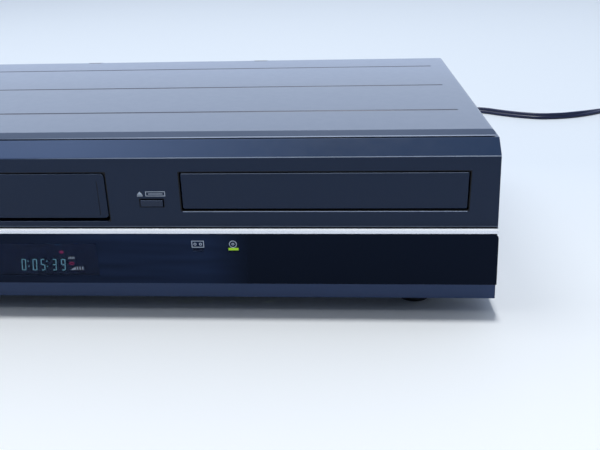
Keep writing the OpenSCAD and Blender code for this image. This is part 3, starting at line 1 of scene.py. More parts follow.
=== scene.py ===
import math

import bpy
from mathutils import Matrix, Vector


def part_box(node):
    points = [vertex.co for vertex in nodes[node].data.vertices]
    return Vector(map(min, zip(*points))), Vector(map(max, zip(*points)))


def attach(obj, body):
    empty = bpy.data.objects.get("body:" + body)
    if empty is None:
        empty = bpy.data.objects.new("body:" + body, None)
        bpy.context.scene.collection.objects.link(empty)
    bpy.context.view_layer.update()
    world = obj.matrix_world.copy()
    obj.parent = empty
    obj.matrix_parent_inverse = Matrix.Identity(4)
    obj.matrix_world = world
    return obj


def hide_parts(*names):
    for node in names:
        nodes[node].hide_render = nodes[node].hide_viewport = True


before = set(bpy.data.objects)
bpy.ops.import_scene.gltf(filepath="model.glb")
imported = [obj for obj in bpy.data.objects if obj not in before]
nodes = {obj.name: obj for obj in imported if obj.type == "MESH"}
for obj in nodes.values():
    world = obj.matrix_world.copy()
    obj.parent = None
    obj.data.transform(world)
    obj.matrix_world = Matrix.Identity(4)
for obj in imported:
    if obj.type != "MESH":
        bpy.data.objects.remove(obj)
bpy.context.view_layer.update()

# ---- Viewpoint
# A camera held low in front of the machine, half a metre away and right of its middle, tipped down.
# Sizes in this file are in millimetres unless a comment says otherwise, and MM turns them to metres.
MM = 0.001
EYE = Vector((135.63, -469.66, 196.07)) * MM
PITCH, YAW, ROLL = (math.radians(a) for a in (22.428, -3.904, -1.503))
LENS, SENSOR, NEAR = 42.864, 36, 10
ahead = Vector((math.sin(YAW) * math.cos(PITCH), math.cos(YAW) * math.cos(PITCH), -math.sin(PITCH)))
level = Vector((math.cos(YAW), -math.sin(YAW), 0))
over = level.cross(ahead)
right = math.cos(ROLL) * level + math.sin(ROLL) * over
up = math.cos(ROLL) * over - math.sin(ROLL) * level
camera = bpy.data.objects.new("camera", bpy.data.cameras.new("camera"))
camera.matrix_world = Matrix.Translation(EYE) @ Matrix((right, up, -ahead)).transposed().to_4x4()
camera.data.lens = LENS
camera.data.sensor_width = SENSOR
camera.data.clip_start = NEAR * MM
bpy.context.scene.collection.objects.link(camera)
bpy.context.scene.camera = camera
bpy.context.scene.view_settings.view_transform = "Standard"

# ---- Mains cord
# Flat twin-core flex in black PVC, extruded round its two cores with a shallow groove between.
# It falls from the back, runs along the table and is wound into a round coil.
CORD_W, CORD_T = 6.6, 3.4
floor_z, upper_z = CORD_T / 2, 1.5 * CORD_T
lead = [(165, 134.5, 24), (165, 142, 24), (165, 150, 23.3), (165.3, 158, 21.2), (166, 166, 17.6),
        (167, 174, 12.9), (168.3, 182, 8.2), (170, 190, 4.6), (172, 198, 2.6), (174.4, 206, 1.9)]
lead += [(x, y, floor_z) for x, y in (
    (177, 214), (183, 228), (190, 242), (198, 256), (207.5, 270), (218, 284), (229.5, 298), (241, 312),
    (253, 325), (265, 334), (278, 338), (292, 334.5), (305, 325.5), (319, 316.5), (333, 310),
    (348, 305.5), (363, 306), (379, 309.5), (398.5, 318), (419, 331.5), (435, 342.5))]
tail = [(510, 307, upper_z), (510, 297, upper_z), (510, 287, 5), (510, 277, 4.6), (510, 268, 4.8),
        (510, 261, 5.8), (510, 254, 7)]
COIL_X, COIL_Y = 474, 317
OUTER_TURN, TURN_STEP = 42.7, 6.6
FIRST_ANGLE, TURNS, POINTS_A_TURN = 124, 4 + 124 / 360, 28
# at which turn a step inwards starts, over how many turns, and its share of a whole step
STEPS_IN = ((0.045, 0.9, 0.5), (0.45, 1, 0.5), (1.45, 1, 1))
STEP_OUT, OUT_OVER, CLIMB, CLIMB_OVER = 3.0, 1.2, 2.75, 0.25


def ease(t):
    """From zero to one, with a soft start and a soft end."""
    t = min(max(t, 0), 1)
    return t * t * (3 - 2 * t)


def coil_point(turn):
    """Two turns inwards side by side, one round the middle, then out again on top of them."""
    inwards = sum(share * ease((turn - start) / length) for start, length, share in STEPS_IN)
    radius = OUTER_TURN - TURN_STEP * (inwards - ease((turn - STEP_OUT) / OUT_OVER))
    angle = math.radians(FIRST_ANGLE - 360 * turn)
    height = floor_z + CORD_T * ease((turn - CLIMB) / CLIMB_OVER)
    return COIL_X + radius * math.cos(angle), COIL_Y + radius * math.sin(angle), height


steps = int(TURNS * POINTS_A_TURN)
coil = [coil_point(TURNS * i / steps) for i in range(steps + 1)]


def through(points, each):
    """A smooth line through the points, with a few points between each two."""
    line = []
    for i in range(len(points) - 1):
        a, b = points[max(i - 1, 0)], points[i]
        c, d = points[i + 1], points[min(i + 2, len(points) - 1)]
        for k in range(each):
            t = k / each
            line.append(0.5 * (2 * b + (c - a) * t + (2 * a - 5 * b + 4 * c - d) * t ** 2
                               + (3 * b - a - 3 * c + d) * t ** 3))
    return line + [points[-1]]


EACH = 3
route = through([Vector(p) for p in lead + coil + tail], EACH)
# A flat flex bends easily only over its flat side, so along the table's curves it leans on one
# edge. It starts to lean and to lie down again at a point of the lead, over a few points.
LEAN, RISE_AT, FALL_AT, EASE_OVER = math.radians(-66), 9, 27, 3
leans = [LEAN * ease((i / EACH - RISE_AT) / EASE_OVER) * (1 - ease((i / EACH - FALL_AT) / EASE_OVER))
         for i in range(len(route))]
for point, lean in zip(route, leans):
    point.z += (CORD_W - CORD_T) / 2 * abs(math.sin(lean))
GROOVE, ARC_POINTS = math.radians(38), 12
core_r, core_x = CORD_T / 2, (CORD_W - CORD_T) / 2
arc = [-math.pi + GROOVE + (2 * math.pi - 2 * GROOVE) * k / (ARC_POINTS - 1) for k in range(ARC_POINTS)]
profile = [(core_x + core_r * math.cos(a), core_r * math.sin(a)) for a in arc]
profile += [(-x, -z) for x, z in profile]


def linear(colour):
    """An sRGB hex colour as Blender's linear values."""
    parts = [int(colour[i:i + 2], 16) / 255 for i in (1, 3, 5)]
    return [c / 12.92 if c <= 0.04045 else ((c + 0.055) / 1.055) ** 2.4 for c in parts] + [1]


def add(tree, kind, inputs=None, **settings):
    """One node with its settings, and with values or links on its inputs."""
    made = tree.nodes.new(kind)
    for name, value in settings.items():
        setattr(made, name, value)
    for name, value in (inputs or {}).items():
        if isinstance(value, bpy.types.NodeSocket):
            tree.links.new(value, made.inputs[name])
        else:
            made.inputs[name].default_value = value
    return made


# the uneven gloss comes in clouds this many grains wide, from noise that stays in this range
CLOUD, NOISE_LOW, NOISE_HIGH = 14, 0.3, 0.7


def finish(name, colour, roughness, grain, height, fleck=None, stretch=(1, 1, 1), edge=0, uneven=0.08,
           **more):
    """A surface with grain of a real size in mm, its height in mm, a second colour in flecks, uneven
    gloss, and edges eased by a radius in mm. More sets the shader's own sockets."""
    made = bpy.data.materials.new(name)
    made.use_nodes = True
    tree = made.node_tree
    shader = tree.nodes["Principled BSDF"]
    place = add(tree, "ShaderNodeTexCoord").outputs["Object"]
    along = add(tree, "ShaderNodeMapping", {"Vector": place, "Scale": stretch}).outputs["Vector"]
    fine = add(tree, "ShaderNodeTexNoise", {"Vector": along, "Scale": 1 / (grain * MM), "Detail": 3})
    broad = add(tree, "ShaderNodeTexNoise", {"Vector": along, "Scale": 1 / (CLOUD * grain * MM), "Detail": 2})
    tint = add(tree, "ShaderNodeMix", {"Factor": fine.outputs["Fac"], "A": linear(colour),
                                       "B": linear(fleck or colour)}, data_type="RGBA")
    tree.links.new(tint.outputs["Result"], shader.inputs["Base Color"])
    gloss = add(tree, "ShaderNodeMapRange", {
        "Value": broad.outputs["Fac"], "From Min": NOISE_LOW, "From Max": NOISE_HIGH,
        "To Min": roughness * (1 - uneven), "To Max": roughness * (1 + uneven)})
    tree.links.new(gloss.outputs["Result"], shader.inputs["Roughness"])
    relief = {"Height": fine.outputs["Fac"], "Distance": height * MM, "Strength": 1}
    if edge:
        relief["Normal"] = add(tree, "ShaderNodeBevel", {"Radius": edge * MM}, samples=4).outputs["Normal"]
    tree.links.new(add(tree, "ShaderNodeBump", relief).outputs["Normal"], shader.inputs["Normal"])
    for socket, value in more.items():
        shader.inputs[socket.replace("_", " ")].default_value = value
    return made


def piece(name, points, faces, body, surface, smooth=False):
    """A mesh from points in mm that rides on a body."""
    mesh = bpy.data.meshes.new(name)
    mesh.from_pydata([Vector(p) * MM for p in points], [], faces)
    mesh.materials.append(surface)
    if smooth:
        mesh.shade_smooth()
    else:
        mesh.shade_flat()
    made = bpy.data.objects.new(name, mesh)
    bpy.context.scene.collection.objects.link(made)
    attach(made, body)
    return made


def tube_faces(rings, sides):
    """The walls between rings of points, and a flat face on each end."""
    walls = []
    for first in range(0, (rings - 1) * sides, sides):
        for k in range(sides):
            n = (k + 1) % sides
            walls.append((first + k, first + n, first + sides + n, first + sides + k))
    return walls + [tuple(range(sides))[::-1], tuple((rings - 1) * sides + k for k in range(sides))]


skin = []
for i, point in enumerate(route):
    way = (route[min(i + 1, len(route) - 1)] - route[max(i - 1, 0)]).normalized()
    flat = way.cross(Vector((0, 0, 1))).normalized()
    side = flat * math.cos(leans[i]) + flat.cross(way) * math.sin(leans[i])
    lift = side.cross(way)
    skin += [point + side * x + lift * z for x, z in profile]
# extruded PVC: satin, faintly matt from the die, with no grain that the eye can follow
pvc = finish("black_pvc", "#151f44", 0.34, 0.5, 0.01, "#1a254e", uneven=0.15)
cord = piece("mains_flex", skin, tube_faces(len(route), len(profile)), "case", pvc,
             smooth=True)
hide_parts("mains_cord", "cord_coil")

# The coil is held by a flat tie, a soft wire in polythene, bent over all its turns. The points run
# along the tie's inside, then along its outside, on one long edge and then on the other.
TIE_ANGLE, TIE_W, TIE_T = math.radians(200), 5, 0.35
TIE_IN, TIE_OUT, TIE_FOOT, TIE_TOP = 25.9, 46.3, 0.05, 6.9
tie_points = []
for half in (-TIE_W / 2, TIE_W / 2):
    for grow in (0, TIE_T):
        for r, z in ((TIE_IN - grow, TIE_FOOT), (TIE_IN - grow, TIE_TOP + grow),
                     (TIE_OUT + grow, TIE_TOP + grow), (TIE_OUT + grow, TIE_FOOT)):
            tie_points.append((COIL_X + r * math.cos(TIE_ANGLE) - half * math.sin(TIE_ANGLE),
                               COIL_Y + r * math.sin(TIE_ANGLE) + half * math.cos(TIE_ANGLE), z))
tie_faces = [(k, k + 1, k + 9, k + 8) for k in range(3)] + [(k + 4, k + 12, k + 13, k + 5) for k in range(3)]
tie_faces += [(k, k + 4, k + 5, k + 1) for k in range(3)] + [(k + 8, k + 9, k + 13, k + 12) for k in range(3)]
tie_faces += [(0, 8, 12, 4), (3, 7, 15, 11)]
# polythene over a soft wire: waxy, a little lighter than the flex
polythene = finish("tie_polythene", "#2a2b30", 0.5, 0.8, 0.02, "#24252a")
tie = piece("cord_tie", tie_points, tie_faces, "case", polythene)

# ---- Mains plug
# One moulding in black PVC round two flat brass blades, narrowed towards the cord with ribs to
# pull it out by.
PLUG_X, PLUG_Z, PLUG_SIDES = 510, 7, 24
# each ring's place along the plug, half its width and thickness, and how square its corners are
PLUG_RINGS = (
    (224, 10.2, 6.2, 4), (224.5, 10.9, 6.9, 4), (232, 11, 7, 4), (240, 11, 7, 3.6), (242, 10.9, 7, 3.4),
    (242.6, 9.6, 6.2, 3.2), (243.8, 9.6, 6.2, 3.2), (244.4, 9.9, 6.6, 3), (245.8, 8.9, 6.2, 3),
    (246.4, 7.9, 5.6, 3), (247.6, 7.7, 5.5, 3), (248.2, 7.9, 5.8, 3), (251, 6, 4.6, 2.6),
    (253.9, 4.6, 3.4, 2.4))
plug_points = []
for y, half_w, half_t, square in PLUG_RINGS:
    for k in range(PLUG_SIDES):
        c, s = math.cos(2 * math.pi * k / PLUG_SIDES), math.sin(2 * math.pi * k / PLUG_SIDES)
        plug_points.append((PLUG_X - half_w * math.copysign(abs(c) ** (2 / square), c), y,
                            PLUG_Z + half_t * math.copysign(abs(s) ** (2 / square), s)))
plug = piece("plug_body", plug_points, tube_faces(len(PLUG_RINGS), PLUG_SIDES), "case", pvc,
             smooth=True)
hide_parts("mains_plug")
BLADE_PITCH, BLADE_T, BLADE_H, BLADE_TIP = 12.7, 1.5, 6.3, 207
# each ring's place along the blade, and how far its edges fall back towards the tip
BLADE_RINGS = ((225, 0), (209.5, 0), (207.8, 0.9), (BLADE_TIP, 1.6))
blade_points, blade_faces = [], []
for s in (-1, 1):
    start = len(blade_points)
    for y, back in BLADE_RINGS:
        half = BLADE_H / 2 - back
        thin = BLADE_T / 2 if y > BLADE_TIP else BLADE_T / 4
        x = PLUG_X + s * BLADE_PITCH / 2
        blade_points += [(x - thin, y, PLUG_Z - half), (x - thin, y, PLUG_Z + half),
                         (x + thin, y, PLUG_Z + half), (x + thin, y, PLUG_Z - half)]
    blade_faces += [tuple(start + i for i in f) for f in tube_faces(len(BLADE_RINGS), 4)]
# nickel on brass, bright and drawn lengthwise
nickel = finish("nickel_plate", "#c9c6bd", 0.24, 0.3, 0.004, "#b9b5ab", stretch=(1, 0.1, 1), Metallic=1)
blades = piece("plug_blades", blade_points, blade_faces, "case", nickel)


def coat(surface, *names):
    """Gives CAD nodes their material."""
    for name in names:
        nodes[name].data.materials.clear()
        nodes[name].data.materials.append(surface)


coat(pvc, "strain_relief")

# ---- Table and light
# A white melamine table top that runs far back, in a room that is bright and bluish behind the
# machine, most so in a low band of windows, and dim in front of it. One lamp hangs nearly
# overhead, and a wide soft one to the left.
TABLE_SIDE, TABLE_MIDDLE = 12000, 2000
bpy.ops.mesh.primitive_plane_add(size=TABLE_SIDE * MM, location=(0, TABLE_MIDDLE * MM, 0))
table = bpy.context.object
table.name = "table"


def ramp(tree, axis, start, end):
    """Zero at a place in mm along the object's x, y or z, one at another."""
    spot = add(tree, "ShaderNodeSeparateXYZ", {"Vector": add(tree, "ShaderNodeTexCoord").outputs["Object"]})
    return add(tree, "ShaderNodeMapRange", {"Value": spot.outputs[axis], "From Min": start * MM,
                                            "From Max": end * MM}).outputs["Result"]


# melamine: nearly matt, with painted shade that darkens it with distance, where less light reaches
NEAR_WHITE, FAR_SHADED_WHITE, FAR_FROM, FAR_TO = "#fafbfa", "#dfe5ea", -2250, -1850
melamine = bpy.data.materials.new("white_melamine")
melamine.use_nodes = True
tree = melamine.node_tree
shade = add(tree, "ShaderNodeMix", {"Factor": ramp(tree, "Y", FAR_FROM, FAR_TO), "A": linear(NEAR_WHITE),
                                    "B": linear(FAR_SHADED_WHITE)}, data_type="RGBA")
shader = tree.nodes["Principled BSDF"]
tree.links.new(shade.outputs["Result"], shader.inputs["Base Color"])
shader.inputs["Roughness"].default_value = 0.7
shader.inputs["Specular IOR Level"].default_value = 0.1
table.data.materials.append(melamine)

# the room's two colours meet between these two directions, and the windows stand at this rise
FRONT_ROOM, BACK_ROOM, BACK_FROM, BACK_TO = "#5a626e", "#dae8ff", -0.2, 0.35
WINDOW_RISE, WINDOW_HALF, ROOM_LIGHT, WINDOW_LIGHT = 0.17, 0.15, 0.88, 1.9
world = bpy.data.worlds.new("room")
bpy.context.scene.world = world
world.use_nodes = True
sky = world.node_tree
way = add(sky, "ShaderNodeSeparateXYZ", {"Vector": add(sky, "ShaderNodeTexCoord").outputs["Generated"]})
behind = add(sky, "ShaderNodeMapRange", {"Value": way.outputs["Y"], "From Min": BACK_FROM,
                                         "From Max": BACK_TO}).outputs["Result"]
room = add(sky, "ShaderNodeMix", {"Factor": behind, "A": linear(FRONT_ROOM), "B": linear(BACK_ROOM)},
           data_type="RGBA")
low = add(sky, "ShaderNodeMath", {0: way.outputs["Z"], 1: WINDOW_RISE, 2: WINDOW_HALF}, operation="COMPARE")
windows_seen = add(sky, "ShaderNodeMath", {0: low.outputs[0], 1: behind}, operation="MULTIPLY").outputs[0]
light = add(sky, "ShaderNodeMapRange", {"Value": windows_seen, "To Min": ROOM_LIGHT, "To Max": WINDOW_LIGHT})
sky.links.new(room.outputs["Result"], sky.nodes["Background"].inputs["Color"])
sky.links.new(light.outputs["Result"], sky.nodes["Background"].inputs["Strength"])
# each lamp's name, its place, the spot that it faces and its side in metres, and its watts
LAMPS = (("overhead", (0.1, 0.43, 4.0), (0, -0.1, 0), 0.22, 88),
         ("left", (-0.9, 0.1, 2.2), (0, 0, 0.05), 1.0, 10))
LAMP_COLOUR = (0.97, 0.985, 1)
for name, place, aim, side, watts in LAMPS:
    lamp = bpy.data.objects.new(name, bpy.data.lights.new(name, "AREA"))
    lamp.data.size = side
    lamp.data.energy = watts
    lamp.data.color = LAMP_COLOUR
    lamp.location = place
    lamp.rotation_euler = (Vector(aim) - Vector(place)).to_track_quat("-Z", "Y").to_euler()
    bpy.context.scene.collection.objects.link(lamp)

# ---- Steel cover
# Sheet steel folded over the sides, with three pressed lines across its top, painted in a satin
# blue-grey metallic and held by screws.
SHARP = 0.05


def above(tree, axis, height):
    """One past a place in mm along the object's x, y or z, zero before it."""
    return ramp(tree, axis, height - SHARP, height + SHARP)


def below(tree, axis, height):
    """One before a place, zero past it."""
    return ramp(tree, axis, height + SHARP, height - SHARP)


def within(tree, axis, middle, half):
    """One inside a stretch about its middle, zero outside it."""
    spot = add(tree, "ShaderNodeSeparateXYZ", {"Vector": add(tree, "ShaderNodeTexCoord").outputs["Object"]})
    return add(tree, "ShaderNodeMath", {0: spot.outputs[axis], 1: middle * MM, 2: half * MM},
               operation="COMPARE").outputs[0]


def overlap(tree, *masks):
    """One where all the masks are one."""
    whole = masks[0]
    for mask in masks[1:]:
        whole = add(tree, "ShaderNodeMath", {0: whole, 1: mask}, operation="MULTIPLY").outputs[0]
    return whole


def blended(surface, mask, colour, metallic=None):
    """A second colour, and metal if wanted, where the mask is one."""
    tree = surface.node_tree
    shader = tree.nodes["Principled BSDF"]
    first = shader.inputs["Base Color"].links[0].from_socket
    mixed = add(tree, "ShaderNodeMix", {"Factor": mask, "A": first, "B": linear(colour)}, data_type="RGBA")
    tree.links.new(mixed.outputs["Result"], shader.inputs["Base Color"])
    if metallic is not None:
        bare = shader.inputs["Metallic"].default_value
        metal = add(tree, "ShaderNodeMapRange", {"Value": mask, "To Min": bare, "To Max": metallic})
        tree.links.new(metal.outputs["Result"], shader.inputs["Metallic"])


# baked paint over steel: fine orange peel, small flecks of aluminium flake
cover_paint = finish("cover_paint", "#505c72", 0.32, 0.35, 0.003, "#566378", edge=0.5, uneven=0.03,
                     Metallic=0.1)
tree = cover_paint.node_tree
# painted sheen: it is a little paler towards the back, where it reflects more of the bright room
SHEEN_FROM, SHEEN_TO = 0, 111
blended(cover_paint, ramp(tree, "Y", SHEEN_FROM, SHEEN_TO), "#626f88")
# the bend over the tongues at the back is scored, and painted shade in the scores shows as two short dark
# marks
TONGUE_X, TONGUE_HALF, SCORE_Y, SCORE_Z = 68, 5, 107.6, 98.6
for x in (-TONGUE_X, TONGUE_X):
    score_shade = overlap(tree, within(tree, "X", x, TONGUE_HALF), above(tree, "Y", SCORE_Y),
                    above(tree, "Z", SCORE_Z))
    blended(cover_paint, score_shade, "#10141c")
# painted light: the fold along the front edge is lighter as it faces the light, and a painted highlight
# shines on its cut end towards the right
FOLD_Y, CUT_Y, CUT_Z, CUT_H, CUT_FROM, CUT_TO = -106.9, -109, 96.5, 0.5, -50, 50
blended(cover_paint, below(tree, "Y", FOLD_Y), "#5e6d87")
cut_end_highlight = overlap(tree, below(tree, "Y", CUT_Y), within(tree, "Z", CUT_Z, CUT_H),
                  ramp(tree, "X", CUT_FROM, CUT_TO))
blended(cover_paint, cut_end_highlight, "#c3cfe6")
# painted shade lies in the pressed lines
LINE_YS, LINE_HALF, LINE_END = (-64.2, 5.8, 75.8), 1.7, 199.5
for y in LINE_YS:
    pressed_shade = overlap(tree, within(tree, "Y", y, LINE_HALF), within(tree, "X", 0, LINE_END))
    blended(cover_paint, pressed_shade, "#0f1b38")
coat(cover_paint, "top_cover")

# ---- Zinc-coated sheet parts
# Pressed from zinc-coated steel and left bare: the pan, the back, the deck's plate, the cassette
# holder and the brackets.
# bare zinc: satin, its spangle faint, rolled lengthwise
zinc = finish("zinc_sheet", "#a9adb2", 0.38, 6, 0.02, "#94989e", stretch=(0.4, 1, 1), edge=0.2, Metallic=0.9)
coat(zinc, "bottom_pan", "rear_panel", "deck_chassis", "clamp_bridge", "cassette_holder", "traverse_plate")

# ---- Cover screws
# Black oxidised pan-head screws with a cross recess, driven through the cover into the pan's
# flanges and the back.
HEAD_R, HEAD_T, CROSS_L, CROSS_W = 2.9, 1.5, 3.4, 0.7
# a head's lower step and its crown as shares of a height, and the crown's share of the width
UNDER, OVER, SLIM = 0.4, 0.7, 0.82


def points_tree(name, sizes):
    """Starts a tree that works on points, with its shape's sizes and material as inputs."""
    tree = bpy.data.node_groups.new(name, "GeometryNodeTree")
    face = tree.interface
    face.new_socket("Geometry", in_out="OUTPUT", socket_type="NodeSocketGeometry")
    face.new_socket("Geometry", in_out="INPUT", socket_type="NodeSocketGeometry")
    for size in sizes:
        face.new_socket(size, in_out="INPUT", socket_type="NodeSocketFloat")
    face.new_socket("Material", in_out="INPUT", socket_type="NodeSocketMaterial")
    return tree, add(tree, "NodeGroupInput").outputs


def screw_tree():
    """A pan head in two steps with a cross cut into it, on each point of the given mesh."""
    tree, given = points_tree("pan_head_screws",
                              ("Head radius", "Head height", "Recess length", "Recess width"))

    def times(value, factor):
        """A size times a share."""
        return add(tree, "ShaderNodeMath", {0: value, 1: factor}, operation="MULTIPLY").outputs[0]

    def raised(geometry, factor):
        """A shape lifted by a share of the head's height."""
        lift = add(tree, "ShaderNodeCombineXYZ", {"Z": times(given["Head height"], factor)}).outputs[0]
        return add(tree, "GeometryNodeTransform", {"Geometry": geometry, "Translation": lift}).outputs[0]

    wide = add(tree, "GeometryNodeMeshCylinder", {"Vertices": 32, "Radius": given["Head radius"],
                                                  "Depth": times(given["Head height"], 2 * UNDER)})
    crown = add(tree, "GeometryNodeMeshCylinder", {"Vertices": 32, "Depth": given["Head height"],
                                                   "Radius": times(given["Head radius"], SLIM)})
    whole = add(tree, "GeometryNodeMeshBoolean", operation="UNION", solver="EXACT")
    tree.links.new(wide.outputs["Mesh"], whole.inputs["Mesh 2"])
    tree.links.new(raised(crown.outputs["Mesh"], OVER - 0.5), whole.inputs["Mesh 2"])
    size = add(tree, "ShaderNodeCombineXYZ", {"X": given["Recess length"], "Y": given["Recess width"],
                                              "Z": given["Head height"]}).outputs[0]
    bar = raised(add(tree, "GeometryNodeMeshCube", {"Size": size}).outputs["Mesh"], OVER)
    turned = add(tree, "GeometryNodeTransform", {"Geometry": bar, "Rotation": (0, 0, math.pi / 2)}).outputs[0]
    cross = add(tree, "GeometryNodeMeshBoolean", {"Mesh 1": whole.outputs["Mesh"]}, operation="DIFFERENCE",
                solver="EXACT")
    tree.links.new(bar, cross.inputs["Mesh 2"])
    tree.links.new(turned, cross.inputs["Mesh 2"])
    spread(tree, given, cross.outputs["Mesh"])
    return tree


def spread(tree, given, shape):
    """Ends a tree: the shape on each point, turned to the point's own way, as one real mesh."""
    way = add(tree, "GeometryNodeInputNamedAttribute", {"Name": "way"}, data_type="FLOAT_VECTOR")
    turn = add(tree, "FunctionNodeAlignRotationToVector", {"Vector": way.outputs["Attribute"]}, axis="Z")
    each = add(tree, "GeometryNodeInstanceOnPoints", {"Points": given["Geometry"], "Instance": shape,
                                                      "Rotation": turn.outputs[0]})
    real = add(tree, "GeometryNodeRealizeInstances", {"Geometry": each.outputs[0]})
    dressed = add(tree, "GeometryNodeSetMaterial", {"Geometry": real.outputs[0],
                                                    "Material": given["Material"]})
    tree.links.new(dressed.outputs[0], add(tree, "NodeGroupOutput").inputs[0])


def grown(name, tree, spots, values, body):
    """Runs a tree on points in mm, each with a way to face, and keeps the result as a plain mesh."""
    mesh = bpy.data.meshes.new(name)
    mesh.from_pydata([Vector(spot) * MM for spot, way in spots], [], [])
    ways = mesh.attributes.new("way", "FLOAT_VECTOR", "POINT")
    ways.data.foreach_set("vector", [c for spot, way in spots for c in way])
    seed = bpy.data.objects.new(name, mesh)
    bpy.context.scene.collection.objects.link(seed)
    modifier = seed.modifiers.new(name, "NODES")
    modifier.node_group = tree
    sockets = {s.name: s.identifier for s in tree.interface.items_tree if s.in_out == "INPUT"}
    for key, value in values.items():
        modifier[sockets[key]] = value
    bpy.context.view_layer.update()
    whole = bpy.data.meshes.new_from_object(seed.evaluated_get(bpy.context.evaluated_depsgraph_get()))
    bpy.data.objects.remove(seed)
    made = bpy.data.objects.new(name, whole)
    bpy.context.scene.collection.objects.link(made)
    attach(made, body)
    return made


SIDE_X, SIDE_YS, SIDE_Z = 212.5, (-60, 80), 14
BACK_Y, BACK_Z = 111.5, 93.5
seat = UNDER * HEAD_T / (UNDER + OVER)
side_spots = [((s * (SIDE_X + seat), y, SIDE_Z), (s, 0, 0)) for s in (-1, 1) for y in SIDE_YS]
back_spots = [((s * TONGUE_X, BACK_Y + seat, BACK_Z), (0, 1, 0)) for s in (-1, 1)]
# blackened steel: dark, with a dull metallic sheen
black_oxide = finish("black_oxide", "#26282c", 0.35, 0.3, 0.004, "#303338", Metallic=0.9)
screws = grown("cover_screw_heads", screw_tree(), side_spots + back_spots,
               {"Head radius": HEAD_R * MM, "Head height": HEAD_T / (UNDER + OVER) * MM,
                "Recess length": CROSS_L * MM, "Recess width": CROSS_W * MM, "Material": black_oxide},
               "case")
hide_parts("cover_screws")

# ---- Front moulding, door, tray front and their keys
# Injection mouldings in ABS, sprayed together in one satin blue-black, so that the door, the tray front
# and the keys match the frame round them. The slope over the face carries a painted sheen, and the lip
# under the smoked panel is painted lighter, as if lit from the table in front.

# the painted highlight comes in as the eased normal leaves the face's own, and as it rises, between these
# values
FLAT, BENT, LEVEL, RAISED = 0.998, 0.95, 0.1, 0.3


def edge_highlights(surface, colour, radius):
    """A painted highlight: a lighter tone where an edge rounded by a radius in mm looks upwards."""
    tree = surface.node_tree
    eased = add(tree, "ShaderNodeBevel", {"Radius": radius * MM}, samples=8).outputs["Normal"]
    flat = add(tree, "ShaderNodeNewGeometry").outputs["True Normal"]
    alike = add(tree, "ShaderNodeVectorMath", {0: eased, 1: flat}, operation="DOT_PRODUCT").outputs["Value"]
    bent = add(tree, "ShaderNodeMapRange", {"Value": alike, "From Min": FLAT, "From Max": BENT})
    rise = add(tree, "ShaderNodeSeparateXYZ", {"Vector": eased}).outputs["Z"]
    upwards = add(tree, "ShaderNodeMapRange", {"Value": rise, "From Min": LEVEL, "From Max": RAISED})
    blended(surface, overlap(tree, bent.outputs["Result"], upwards.outputs["Result"]), colour)


# sprayed ABS: satin and even, with a painted highlight on the edges that look upwards
blue_black = finish("blue_black_spray", "#1a2b46", 0.3, 0.3, 0.003, "#1e304c", edge=0.7, IOR=1.28)
PANEL_FOOT, SLOPE_FOOT, SLOPE_LEFT, SLOPE_RIGHT = 16.3, 88.3, -10, 130
tree = blue_black.node_tree
# painted light: the lip under the smoked panel is lighter, as if lit from the table in front
blended(blue_black, below(tree, "Z", PANEL_FOOT), "#374a70")
edge_highlights(blue_black, "#8b9bb8", 0.45)
tray_spray = blue_black.copy()
tray_spray.name = "tray_front_spray"
door_spray = blue_black.copy()
door_spray.name = "door_spray"


def patch(surface, x0, x1, z0, z1, colour, fade=None):
    """A second colour inside an oblong of the front in mm, rising between two x places if given."""
    tree = surface.node_tree
    masks = [within(tree, "X", (x0 + x1) / 2, (x1 - x0) / 2), within(tree, "Z", (z0 + z1) / 2, (z1 - z0) / 2)]
    if fade:
        masks.append(ramp(tree, "X", *fade))
    blended(surface, overlap(tree, *masks), colour)


# painted sheen: the slope is lighter than the face, and lighter still at the left
slope_sheen = above(tree, "Z", SLOPE_FOOT)
blended(blue_black, slope_sheen, "#52668a")
blended(blue_black, overlap(tree, slope_sheen, ramp(tree, "X", SLOPE_LEFT, SLOPE_RIGHT)), "#2d4160")
# Painted shade: the openings' edges drop off into shade, and a painted highlight stands where the edge below
# the tray opening catches the light.
# Each opening has its left and right end, its foot and its head here.
SHADE, GLINT, STRIP_EDGE_HIGHLIGHT, SLOPE_EDGE_HIGHLIGHT, TRAY_EDGE_HIGHLIGHT = "#04070d", "#a9b7cf", "#8b9ab4", "#b9c5da", "#8b98ae"
SLOT, TRAY_HOLE, KEY_HOLE = (-192.3, 9.5, 53, 80.9), (48.1, 200.35, 58.7, 80.9), (26.1, 39.6, 61, 66)
for hole in (SLOT, TRAY_HOLE, KEY_HOLE):
    patch(blue_black, *hole, SHADE)
GLINT_IN, GLINT_H = 1, 0.4
hole_left, hole_right, hole_foot = TRAY_HOLE[:3]
patch(blue_black, hole_left + GLINT_IN, hole_right - GLINT_IN, hole_foot - GLINT_H, hole_foot, GLINT)
# painted shade in the gap over the strip, a painted highlight on the face's edge above it, and a painted
# highlight along the slope's foot
FRONT_HALF, STRIP_GAP, STRIP_TOP, STRIP_EDGE_TOP = 217, 49.3, 49.8, 50.2
patch(blue_black, -FRONT_HALF, FRONT_HALF, STRIP_GAP, STRIP_TOP, SHADE)
patch(blue_black, -FRONT_HALF, FRONT_HALF, STRIP_TOP, STRIP_EDGE_TOP, STRIP_EDGE_HIGHLIGHT)
EDGE_UNDER, EDGE_OVER, EDGE_FADE = 0.1, 0.4, (-40, 40)
patch(blue_black, -FRONT_HALF, FRONT_HALF, SLOPE_FOOT - EDGE_UNDER, SLOPE_FOOT + EDGE_OVER, SLOPE_EDGE_HIGHLIGHT,
      fade=EDGE_FADE)
coat(blue_black, "front_bezel")
# a painted highlight along the tray front's top edge
TRAY_EDGE_H = 0.35
tray_low, tray_high = (Vector(c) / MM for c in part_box("tray_front"))
patch(tray_spray, tray_low.x, tray_high.x, tray_high.z - TRAY_EDGE_H, tray_high.z, TRAY_EDGE_HIGHLIGHT)
coat(tray_spray, "tray_front")
